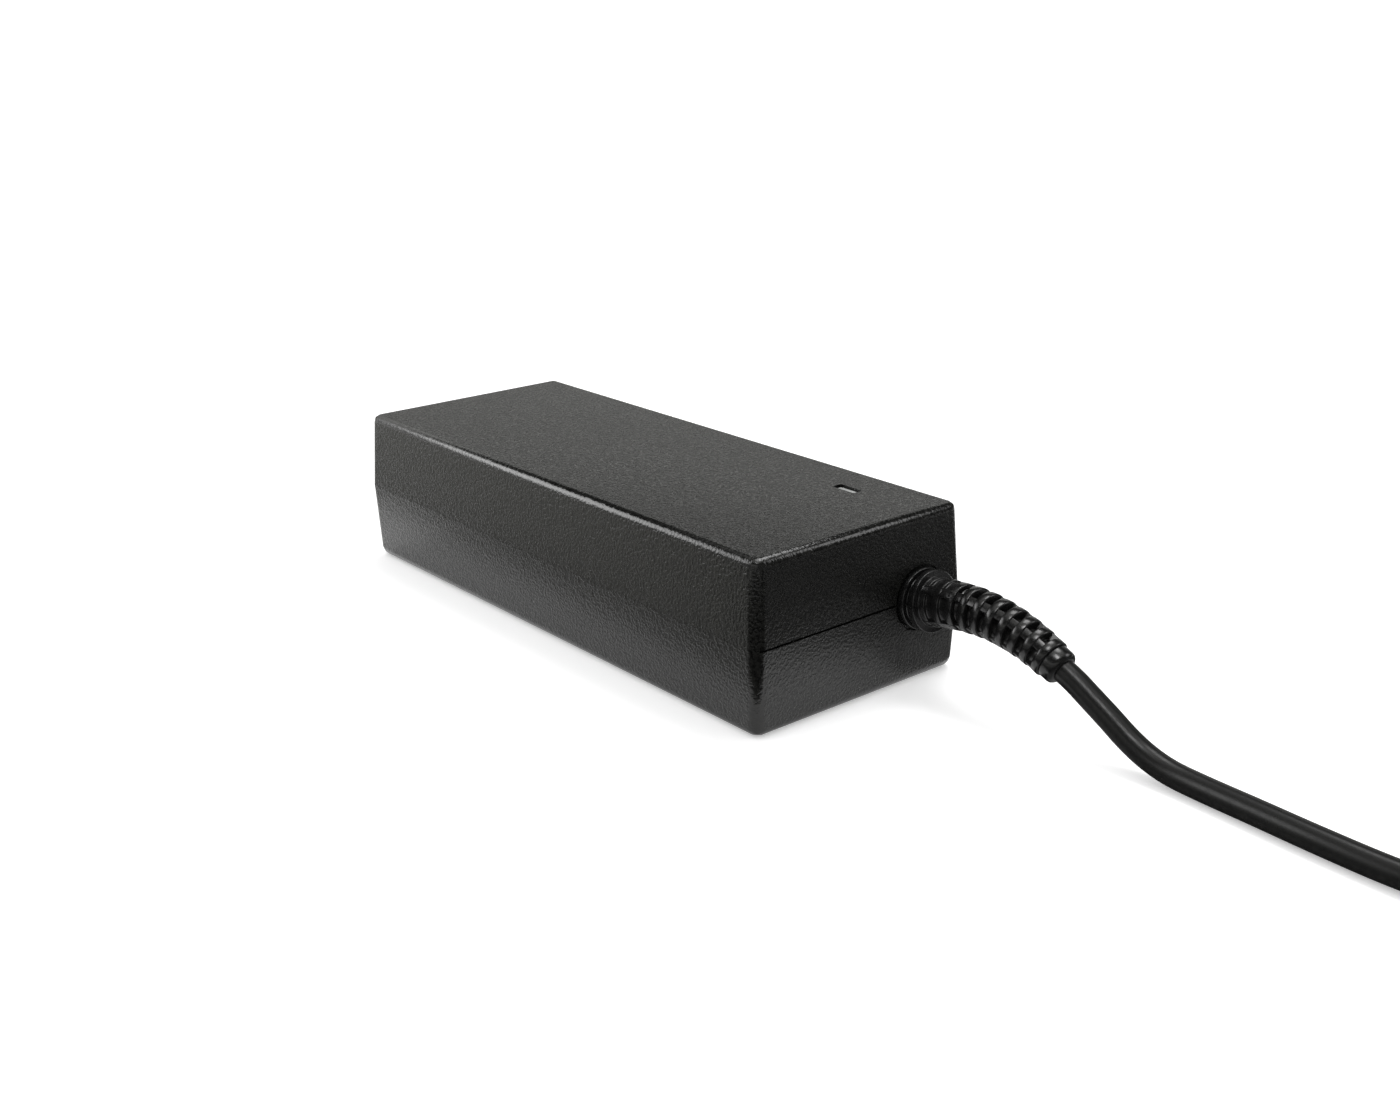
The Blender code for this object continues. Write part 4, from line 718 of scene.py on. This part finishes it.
def polish_edges(finish):
    """Makes the texture shallower on the walls, and fades it on rounded edges, where the finish
    is as smooth as a polished mould leaves it. A face counts as flat where its normal lies
    along an axis of the object, give or take the draft."""
    nodes, links = finish.node_tree.nodes, finish.node_tree.links
    facing = nodes.new("ShaderNodeNewGeometry")
    own_facing = nodes.new("ShaderNodeVectorTransform")
    own_facing.vector_type = "NORMAL"
    own_facing.convert_from = "WORLD"
    own_facing.convert_to = "OBJECT"
    links.new(facing.outputs["True Normal"], own_facing.inputs["Vector"])
    unsigned = nodes.new("ShaderNodeVectorMath")
    unsigned.operation = "ABSOLUTE"
    links.new(own_facing.outputs["Vector"], unsigned.inputs[0])
    axes = nodes.new("ShaderNodeSeparateXYZ")
    links.new(unsigned.outputs["Vector"], axes.inputs["Vector"])
    along = axes.outputs["X"]
    for axis in ("Y", "Z"):
        larger = nodes.new("ShaderNodeMath")
        larger.operation = "MAXIMUM"
        links.new(along, larger.inputs[0])
        links.new(axes.outputs[axis], larger.inputs[1])
        along = larger.outputs["Value"]
    flatness = spread(finish.node_tree, along, CURVED, FLAT)
    flat_depth = spread(finish.node_tree, axes.outputs["Z"], 0.0, 1.0, WALL_GRAIN)
    shader_roughness = nodes["Principled BSDF"].inputs["Roughness"]
    flat_roughness = shader_roughness.links[0].from_socket
    for on_edges, on_flats, socket in (
        (EDGE_ROUGHNESS, flat_roughness, shader_roughness),
        (EDGE_GRAIN, flat_depth, nodes["Bump"].inputs["Strength"]),
    ):
        faded = nodes.new("ShaderNodeMix")
        faded.inputs["A"].default_value = on_edges
        links.new(flatness, faded.inputs["Factor"])
        links.new(on_flats, faded.inputs["B"])
        links.new(faded.outputs["Result"], socket)


polish_edges(MOULDED_HOUSING)
for housing, node in ((upper_housing, "upper_case"), (lower_housing, "lower_case")):
    soften(housing, 30)
    housing.data.materials.append(MOULDED_HOUSING)
    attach(housing, "root")
    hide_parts(node)

# Indicator window
# The end of a clear moulded light pipe, frosted, that stands a little below the top in its slot
# and carries the light of the lamp on the board. A flange under the top holds it.

WINDOW_GAP = Vector((0.0005, 0.0004))  # round the window in its slot
WINDOW_RECESS = 0.0004
WINDOW_CORNER = 0.0002
PIPE_FLANGE = Vector((0.0005, 0.0006))  # how far the flange reaches past the slot
PIPE_FLANGE_THICKNESS = 0.0008
window_half = slot_half - WINDOW_GAP
pipe_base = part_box("light_pipe")[0][2]
window = block(
    "window", (*(SLOT_MIDDLE - window_half), pipe_base),
    (*(SLOT_MIDDLE + window_half), CASE_HEIGHT - WINDOW_RECESS),
)
crease_weights(window, upright, 1.0)
weighted_bevel(window, WINDOW_CORNER, SLOT_CORNER_STEPS)
flange_half = slot_half + PIPE_FLANGE
flange_top = CASE_HEIGHT - WALL - FIT_GAP
carve(window, block(
    "flange", (*(SLOT_MIDDLE - flange_half), flange_top - PIPE_FLANGE_THICKNESS),
    (*(SLOT_MIDDLE + flange_half), flange_top),
), "UNION")
rounded_edges(window, 0.00008, 2, angle=60)
soften(window)
FROSTED = grained(
    "frosted window plastic", (0.34, 0.35, 0.34), (0.44, 0.45, 0.44), 0.4, 0.25,
    speck=0.0006, relief=0.00002, strength=0.2,
)
window.data.materials.append(FROSTED)
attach(window, "root")
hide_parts("light_pipe")

# Mains inlet
# The usual three-pin appliance inlet: a black moulding with a keyed cavity, two corners of which
# are cut off, and three nickelled blades whose tips are chamfered.

INLET_FACE = -0.0638
INLET_LENGTH = 0.019
INLET_CHAMFER = 0.005
CAVITY_DEPTH = 0.0165
CAVITY_WIDTH = 0.0245
CAVITY_HEIGHT = 0.0165
MOUTH_EDGE = 0.0003
inlet = inlet_bar(
    "mains_inlet", INLET_FACE, INLET_FACE + INLET_LENGTH, INLET_WIDTH, INLET_HEIGHT,
    INLET_CHAMFER,
)
rounded_edges(inlet, 0.0004, 3)
cavity = inlet_bar(
    "cavity", INLET_FACE - 2 * WALL, INLET_FACE + CAVITY_DEPTH, CAVITY_WIDTH, CAVITY_HEIGHT,
    INLET_CHAMFER,
)
rounded_edges(cavity, 0.0003, 3)
carve(inlet, cavity)


def round_the_mouth(a, b):
    """Whether an edge between two places runs round the mouth of the cavity."""
    return all(
        place.x < INLET_FACE + SAME_PLACE
        and abs(place.y) < CAVITY_WIDTH / 2 + SAME_PLACE
        and abs(place.z - SEAM_HEIGHT) < CAVITY_HEIGHT / 2 + SAME_PLACE
        for place in (a, b)
    )


pick(inlet, "EDGE", round_the_mouth)
bpy.ops.mesh.bevel(offset=MOUTH_EDGE, segments=2)
bpy.ops.object.mode_set(mode="OBJECT")
soften(inlet)
INLET_PLASTIC = grained(
    "inlet moulding", (0.012, 0.012, 0.012), (0.020, 0.020, 0.019), 0.5, 0.36,
    speck=0.0006, relief=0.00002, strength=0.2,
)
inlet.data.materials.append(INLET_PLASTIC)
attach(inlet, "root")
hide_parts("inlet_housing")

NICKEL = grained(
    "nickel plating", (0.58, 0.56, 0.52), (0.68, 0.66, 0.62), 0.34, 0.2,
    speck=0.0012, relief=0.000004, strength=0.2, metallic=1.0, uneven=0.8,
)
BLADE_TIP = -0.0598
BLADE_BACK = -0.0423
BLADE_THICKNESS = 0.002
BLADE_HEIGHT = 0.004
TIP_LENGTH = 0.0012
TIP_NARROWING = (1, 0.45, 0.72)
for name, y, z in (("line", 0.007, 0.0144), ("neutral", -0.007, 0.0144), ("earth", 0.0, 0.0184)):
    tip_start = BLADE_TIP + TIP_LENGTH
    blade = block(
        f"{name}_contact", (tip_start, y - BLADE_THICKNESS / 2, z - BLADE_HEIGHT / 2),
        (BLADE_BACK, y + BLADE_THICKNESS / 2, z + BLADE_HEIGHT / 2),
    )
    pick(blade, "FACE", lambda face: face.center.x < tip_start + SAME_PLACE)
    bpy.ops.mesh.extrude_region_move(TRANSFORM_OT_translate={"value": (-TIP_LENGTH, 0, 0)})
    bpy.ops.transform.resize(value=TIP_NARROWING, center_override=(BLADE_TIP, y, z))
    bpy.ops.object.mode_set(mode="OBJECT")
    rounded_edges(blade, 0.00015, 2, angle=20)
    soften(blade)
    blade.data.materials.append(NICKEL)
    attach(blade, "root")
    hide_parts(f"{name}_blade")

# Output plug
# A barrel plug with a moulded grip: a smooth neck that swells into a grooved grip, the nickelled
# barrel, a pale insulating ring in its mouth, and the inner contact. It lies on the coil.

PLUG_SIDES = 48
PLUG_NECK_RADIUS = 0.0029
PLUG_NECK = 0.010
NECK_STEPS = 12
PLUG_GRIP = 0.020
GRIP_EDGE = 0.0006
GRIP_GROOVES = 4
GRIP_GROOVES_START = 0.001  # from the neck
GRIP_GROOVE_PITCH = 0.0025
GRIP_GROOVE_DEPTH = 0.0005
GRIP_GROOVE_SLOPE = 0.0004
GRIP_GROOVE_FLOOR = 0.0007
SEAT_RADIUS = 0.00305  # the hole in the grip's end in which the barrel sits
SEAT_DEPTH = 0.003
BARREL_LENGTH = 0.0095
BARREL_STEP = 0.0004  # each tube ends this much further in than the one round it
plug_at = tail[-1] - Vector((0, FIT_GAP, 0))


def on_plug_axis(piece):
    """Turns a piece that lies along X to point along the plug, towards -Y, and moves it there."""
    piece.rotation_euler.z = -math.pi / 2
    piece.location = plug_at
    return settle(piece)


grip_stations = [(0.0, CORD_RADIUS), (0.0, PLUG_NECK_RADIUS)]
for step in range(1, NECK_STEPS + 1):
    swell = (1 - math.cos(math.pi * step / NECK_STEPS)) / 2
    grip_stations.append((
        PLUG_NECK * step / NECK_STEPS,
        PLUG_NECK_RADIUS + (PLUG_GRIP_RADIUS - PLUG_NECK_RADIUS) * swell,
    ))
groove_radius = PLUG_GRIP_RADIUS - GRIP_GROOVE_DEPTH
for groove in range(GRIP_GROOVES):
    start = PLUG_NECK + GRIP_GROOVES_START + groove * GRIP_GROOVE_PITCH
    floor_start = start + GRIP_GROOVE_SLOPE
    floor_end = floor_start + GRIP_GROOVE_FLOOR
    grip_stations += [
        (start, PLUG_GRIP_RADIUS), (floor_start, groove_radius), (floor_end, groove_radius),
        (floor_end + GRIP_GROOVE_SLOPE, PLUG_GRIP_RADIUS),
    ]
grip_end = PLUG_NECK + PLUG_GRIP
grip_stations += [
    (grip_end - GRIP_EDGE, PLUG_GRIP_RADIUS), (grip_end, PLUG_GRIP_RADIUS - GRIP_EDGE),
    (grip_end, SEAT_RADIUS), (grip_end - SEAT_DEPTH, SEAT_RADIUS),
]
plug_grip = drawn_out("plug_grip", grip_stations, PLUG_SIDES)
rounded_edges(plug_grip, 0.00018, 3, angle=40)
on_plug_axis(plug_grip)
soften(plug_grip, 50)
plug_grip.data.materials.append(MOULDED_SLEEVE)
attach(plug_grip, "root")
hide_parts("plug_sleeve")


def plug_tube(name, outer, wall, end, material, node):
    """A tube in the plug, from the bottom of the grip's seat to its open end, its lip rounded."""
    start, lip = grip_end - SEAT_DEPTH + FIT_GAP, wall / 3
    tube = drawn_out(
        name,
        ((start, outer - wall), (start, outer), (end - lip, outer), (end, outer - lip),
         (end, outer - wall + lip), (end - lip, outer - wall), (start, outer - wall)),
        PLUG_SIDES, closed_bore=True,
    )
    on_plug_axis(tube)
    soften(tube, 50)
    tube.data.materials.append(material)
    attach(tube, "root")
    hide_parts(node)
    return tube


PALE_PLASTIC = grained(
    "pale insulating plastic", (0.68, 0.68, 0.63), (0.80, 0.80, 0.76), 0.5, 0.36,
    speck=0.001, relief=0.00001, strength=0.15,
)
barrel_end = grip_end + BARREL_LENGTH
plug_tubes = [
    plug_tube("plug_outer", 0.00275, 0.0004, barrel_end, NICKEL, "plug_barrel"),
    plug_tube(
        "plug_ring", 0.00205, 0.0002, barrel_end - BARREL_STEP, PALE_PLASTIC, "plug_insulator",
    ),
    plug_tube(
        "plug_inner", 0.00155, 0.0003, barrel_end - 2 * BARREL_STEP, NICKEL, "plug_contact",
    ),
]

# Tie
# A woven hook-and-loop strap round one side of the coil. It goes round tight, and then laps over
# itself, so that the free end shows as a step low on the outside.

TIE_THICKNESS = 0.00042
TIE_LAP = 0.00035
LAP_ENDS_AT = 0.0065  # the height of the free end's step
TIE_CORNER = 0.0023
TIE_CORNER_STEPS = 8
tie_low, tie_high = (Vector(corner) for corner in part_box("cord_tie"))
tie = block(
    "coil_tie", tie_low + Vector((0, TIE_LAP, 0)), tie_high - Vector((0, TIE_LAP, TIE_LAP))
)
pick(tie, "FACE", lambda face: abs(face.normal.x) > 0.5)
bpy.ops.mesh.delete(type="ONLY_FACE")
bpy.ops.object.mode_set(mode="OBJECT")
pick(tie, "EDGE", lambda a, b: abs(a.x - b.x) > SAME_PLACE)
bpy.ops.mesh.bevel(offset=TIE_CORNER, segments=TIE_CORNER_STEPS)
bpy.ops.object.mode_set(mode="OBJECT")
thickness = tie.modifiers.new("thickness", "SOLIDIFY")
thickness.thickness = TIE_THICKNESS
thickness.offset = -1
settle(tie)
pick(tie, "FACE", lambda face: True)
bpy.ops.mesh.bisect(plane_co=(0, 0, LAP_ENDS_AT), plane_no=(0, 0, 1))
bpy.ops.object.mode_set(mode="OBJECT")
tie_middle = (tie_low + tie_high) / 2
pick(
    tie, "FACE", lambda face: face.center.z > LAP_ENDS_AT and abs(face.normal.x) < 0.5
    and face.normal.dot(face.center - tie_middle) > 0
)
bpy.ops.mesh.extrude_region_shrink_fatten(TRANSFORM_OT_shrink_fatten={"value": TIE_LAP})
bpy.ops.object.mode_set(mode="OBJECT")
rounded_edges(tie, 0.00012, 2, angle=60)
soften(tie)


def woven_strap():
    """Black webbing: fine threads across and along the strap, with a soft sheen."""
    made, tree, shader = new_finish("woven black strap")
    nodes, links = tree.nodes, tree.links
    shader.inputs["Roughness"].default_value = 0.85
    shader.inputs["Sheen Weight"].default_value = 0.25
    where = nodes.new("ShaderNodeTexCoord")
    across = nodes.new("ShaderNodeTexWave")
    across.bands_direction = "X"
    across.inputs["Scale"].default_value = 420.0
    along = nodes.new("ShaderNodeTexWave")
    along.bands_direction = "DIAGONAL"
    along.inputs["Scale"].default_value = 300.0
    for wave in (across, along):
        wave.inputs["Distortion"].default_value = 0.6
        links.new(where.outputs["Object"], wave.inputs["Vector"])
    weave = nodes.new("ShaderNodeMath")
    weave.operation = "MULTIPLY"
    links.new(across.outputs["Fac"], weave.inputs[0])
    links.new(along.outputs["Fac"], weave.inputs[1])
    colour = nodes.new("ShaderNodeMix")
    colour.data_type = "RGBA"
    colour.inputs["A"].default_value = (0.010, 0.010, 0.010, 1.0)
    colour.inputs["B"].default_value = (0.035, 0.035, 0.034, 1.0)
    links.new(weave.outputs[0], colour.inputs["Factor"])
    links.new(colour.outputs["Result"], shader.inputs["Base Color"])
    emboss(tree, weave.outputs[0], 0.6, 0.00015)
    return made


tie.data.materials.append(woven_strap())
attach(tie, "root")
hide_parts("cord_tie")

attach(output_cord, "root")
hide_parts("dc_cord", "dc_cord_coil", "dc_cord_tail")

# Inside the housing
# The board with its parts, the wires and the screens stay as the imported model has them. Each
# takes the finish of its real material, by the material slot that the record gives it.

FINISHES = {
    "window": FROSTED,
    "cord_jacket": JACKET,
    "insulator": PALE_PLASTIC,
    "line_wire": grained("brown insulation", (0.16, 0.06, 0.02), (0.26, 0.11, 0.04), 0.45, 0.3),
    "neutral_wire": grained("blue insulation", (0.02, 0.08, 0.32), (0.04, 0.12, 0.46), 0.45, 0.3),
    "earth_wire": grained("green insulation", (0.06, 0.30, 0.03), (0.34, 0.46, 0.05), 0.45, 0.3,
                          speck=0.004, uneven=0.1),
    "positive_wire": grained("red insulation", (0.40, 0.015, 0.015), (0.58, 0.03, 0.02), 0.45,
                             0.3),
    "board": grained("board laminate", (0.17, 0.20, 0.07), (0.26, 0.29, 0.13), 0.6, 0.42,
                     speck=0.0008),
    "disc_coating": grained("dipped blue coating", (0.08, 0.24, 0.37), (0.13, 0.33, 0.48), 0.4,
                            0.26, speck=0.0015),
    "film_case": grained("yellow capacitor case", (0.66, 0.49, 0.06), (0.78, 0.60, 0.10), 0.5,
                         0.36),
    "ferrite": grained("sintered ferrite", (0.035, 0.035, 0.038), (0.065, 0.065, 0.07), 0.75,
                       0.55, speck=0.0004),
    "enamelled_wire": grained("enamelled copper wire", (0.36, 0.12, 0.04), (0.55, 0.22, 0.08),
                              0.4, 0.24, speck=0.0007),
    "winding_tape": grained("polyester tape", (0.66, 0.46, 0.05), (0.80, 0.60, 0.10), 0.35,
                            0.22, speck=0.003),
    "package_resin": grained("black package resin", (0.014, 0.014, 0.014),
                             (0.028, 0.028, 0.028), 0.6, 0.42, speck=0.0003),
    "capacitor_sleeve": grained("dark shrunk sleeve", (0.03, 0.04, 0.07), (0.05, 0.06, 0.11),
                                0.35, 0.22, speck=0.002),
    "heatsink": grained("rolled aluminium", (0.62, 0.62, 0.63), (0.76, 0.76, 0.77), 0.45, 0.3,
                        speck=0.002, metallic=1.0),
    "indicator": grained("tinted clear resin", (0.38, 0.62, 0.38), (0.50, 0.76, 0.50), 0.25,
                         0.15),
    "screen": grained("copper sheet", (0.64, 0.34, 0.20), (0.80, 0.46, 0.30), 0.45, 0.3,
                      speck=0.003, metallic=1.0),
}


def fuse_glass():
    """Clear glass with a slight waviness."""
    made, tree, shader = new_finish("fuse glass")
    shader.inputs["Base Color"].default_value = (0.9, 0.93, 0.91, 1.0)
    shader.inputs["Roughness"].default_value = 0.05
    shader.inputs["Transmission Weight"].default_value = 0.9
    grain = tree.nodes.new("ShaderNodeGroup")
    grain.node_tree = GRAIN
    grain.inputs["Speck Size"].default_value = 0.003
    emboss(tree, grain.outputs["Height"], 0.1, 0.00005)
    return made


FINISHES["fuse_glass"] = fuse_glass()
slot_of = {part["node"]: part["material_slot"] for part in frame["record"]["subparts"]}
for name, node in frame["nodes"].items():
    finish = FINISHES.get(slot_of[name])
    if finish is not None:
        node.data.materials.clear()
        node.data.materials.append(finish)

# Floor and light
# A white sheet that glows a little, more so further out, under one soft light overhead. Cards on
# the floor and a room with a few bright patches, which gloss alone sees, give the smooth black
# plastic what it mirrors.

FLOOR_SIZE = 60.0
FLOOR_HEIGHT = -0.0001
GLOW_STARTS = 0.12  # the distance from the object's middle where the sheet starts to glow more
GLOW_FULL = 0.9
NEAR_GLOW = 0.36
FAR_GLOW = 0.6
bpy.ops.object.select_all(action="DESELECT")
bpy.ops.mesh.primitive_plane_add(size=FLOOR_SIZE, location=(0, 0, FLOOR_HEIGHT))
floor = bpy.context.object
floor.name = "floor"
white_sheet, sheet_tree, sheet_shader = new_finish("white sheet")
sheet_shader.inputs["Base Color"].default_value = (0.93, 0.93, 0.93, 1.0)
sheet_shader.inputs["Roughness"].default_value = 0.9
sheet_shader.inputs["Specular IOR Level"].default_value = 0.1
sheet_shader.inputs["Emission Color"].default_value = (1.0, 1.0, 1.0, 1.0)
sheet_place = sheet_tree.nodes.new("ShaderNodeTexCoord")
from_middle = sheet_tree.nodes.new("ShaderNodeVectorMath")
from_middle.operation = "LENGTH"
sheet_tree.links.new(sheet_place.outputs["Object"], from_middle.inputs[0])
sheet_glow = spread(
    sheet_tree, from_middle.outputs["Value"], GLOW_STARTS, GLOW_FULL, NEAR_GLOW, FAR_GLOW
)
sheet_tree.links.new(sheet_glow, sheet_shader.inputs["Emission Strength"])
floor.data.materials.append(white_sheet)


# Cards that only the object's gloss sees, and that darken what the walls mirror of the floor.
# Where two overlap, one lies higher.
CARD_HEIGHT = 0.0001
REFLECTED_CARDS = (
    # name, middle, length, width, turn in degrees, colour, height
    ("dark_end_card", (0.593, 0.112), 1.0, 1.4, 9.4, (0.27, 0.27, 0.27), CARD_HEIGHT),
    ("dark_relief_card", (0.138, 0.096), 0.145, 0.17, 12, (0.01, 0.01, 0.01), CARD_HEIGHT),
    ("grey_relief_card", (0.0693, 0.036), 0.016, 0.044, 12, (0.45, 0.45, 0.45), CARD_HEIGHT),
    ("grey_far_card", (0.040, 0.056), 0.050, 0.060, 0, (0.20, 0.20, 0.20), 2 * CARD_HEIGHT),
    ("grey_near_card", (0.128, 0.018), 0.075, 0.045, 0, (0.40, 0.40, 0.40), 2 * CARD_HEIGHT),
    ("grey_side_card", (-0.250, -0.470), 1.0, 0.8, 2, (0.59, 0.59, 0.545), CARD_HEIGHT),
    ("pale_side_card", (-0.080, -0.055), 0.30, 0.034, 0, (0.32, 0.32, 0.305), CARD_HEIGHT),
    ("dark_corner_card", (0.246, -0.207), 0.5, 0.5, -45, (0.01, 0.01, 0.01), 2 * CARD_HEIGHT),
)
for name, middle, length, width, turn, colour, height in REFLECTED_CARDS:
    bpy.ops.object.select_all(action="DESELECT")
    bpy.ops.mesh.primitive_plane_add(
        size=1.0, location=(*middle, height), rotation=(0, 0, math.radians(turn))
    )
    card = bpy.context.object
    card.name = name
    card.scale = (length, width, 1.0)
    bpy.ops.object.transform_apply(location=True, rotation=True, scale=True)
    cloth, _, cloth_shader = new_finish(name)
    cloth_shader.inputs["Base Color"].default_value = (*colour, 1.0)
    cloth_shader.inputs["Roughness"].default_value = 1.0
    cloth_shader.inputs["Specular IOR Level"].default_value = 0.0
    card.data.materials.append(cloth)
    card.visible_camera = False
    card.visible_diffuse = False
    card.visible_shadow = False

# The room that gloss mirrors: (share of the way from straight down to straight up, brightness)
ROOM_LEVELS = ((0.0, 0.50), (0.23, 0.32), (0.33, 1.15), (0.41, 1.32), (0.46, 0.05), (0.79, 0.05),
               (0.87, 1.1), (1.0, 1.1))
TOWARDS_END = (0.78, 0.62, 0.0)
END_DARKNESS = 0.2  # what is left of the room's light low down in that direction
# Soft round lights far off: (direction, width in degrees, brightness)
BRIGHT_PATCHES = (
    ((-0.735, -0.54, 0.42), 38, 6.5),
    ((0.47, 0.65, 0.60), 26, 4.0),
    ((0.17, -0.30, 0.92), 20, 14.0),
)
room = bpy.data.worlds.new("room")
bpy.context.scene.world = room
room.use_nodes = True
nodes, links = room.node_tree.nodes, room.node_tree.links
background = nodes["Background"]
direction = nodes.new("ShaderNodeTexCoord")
parts = nodes.new("ShaderNodeSeparateXYZ")
links.new(direction.outputs["Generated"], parts.inputs["Vector"])
levels = nodes.new("ShaderNodeValToRGB")
while len(levels.color_ramp.elements) < len(ROOM_LEVELS):
    levels.color_ramp.elements.new(0.5)
for stop, (position, value) in zip(levels.color_ramp.elements, ROOM_LEVELS):
    stop.position = position
    stop.color = (value, value, 0.97 * value, 1.0)
links.new(parts.outputs["Z"], levels.inputs["Fac"])
# Low down past the cord's end the room is dark, as the upper half of that end shows
towards_end = nodes.new("ShaderNodeVectorMath")
towards_end.operation = "DOT_PRODUCT"
towards_end.inputs[1].default_value = TOWARDS_END
links.new(direction.outputs["Generated"], towards_end.inputs[0])
shade = nodes.new("ShaderNodeMath")
shade.operation = "MAXIMUM"
low_shade = spread(room.node_tree, towards_end.outputs["Value"], 0.1, 0.5, 1.0, END_DARKNESS)
links.new(low_shade, shade.inputs[0])
links.new(spread(room.node_tree, parts.outputs["Z"], 0.4, 0.6), shade.inputs[1])
shaded = nodes.new("ShaderNodeVectorMath")
shaded.operation = "SCALE"
links.new(levels.outputs["Color"], shaded.inputs[0])
links.new(shade.outputs[0], shaded.inputs["Scale"])
glow = shaded.outputs["Vector"]
for towards, width, brightness in BRIGHT_PATCHES:
    near = nodes.new("ShaderNodeVectorMath")
    near.operation = "DOT_PRODUCT"
    near.inputs[1].default_value = Vector(towards).normalized()
    links.new(direction.outputs["Generated"], near.inputs[0])
    spot = spread(
        room.node_tree, near.outputs["Value"], math.cos(math.radians(0.6 * width)),
        math.cos(math.radians(0.3 * width)), 0.0, brightness, "SMOOTHSTEP",
    )
    added = nodes.new("ShaderNodeVectorMath")
    added.operation = "ADD"
    links.new(glow, added.inputs[0])
    links.new(spot, added.inputs[1])
    glow = added.outputs["Vector"]
# The camera and the floor see a plain, evenly pale room
seen = nodes.new("ShaderNodeLightPath")
mirrored = nodes.new("ShaderNodeMix")
mirrored.data_type = "RGBA"
mirrored.inputs["A"].default_value = (1.0, 1.0, 1.0, 1.0)
links.new(seen.outputs["Is Glossy Ray"], mirrored.inputs["Factor"])
links.new(glow, mirrored.inputs["B"])
links.new(mirrored.outputs["Result"], background.inputs["Color"])
background.inputs["Strength"].default_value = 1.0

LIGHT_TOWARDS = Vector((-0.05, 0.30, 0.95))
LIGHT_DISTANCE = 0.8
LIGHT_SIZE = 0.30
overhead_light = bpy.data.lights.new("overhead_light", "AREA")
overhead_light.shape = "RECTANGLE"
overhead_light.size = overhead_light.size_y = LIGHT_SIZE
overhead_light.energy = 2.2
hung = bpy.data.objects.new("overhead_light", overhead_light)
bpy.context.scene.collection.objects.link(hung)
hung.location = LIGHT_DISTANCE * LIGHT_TOWARDS.normalized()
hung.rotation_euler = (-hung.location).to_track_quat("-Z", "Y").to_euler()
bpy.context.scene.view_settings.view_transform = "Standard"
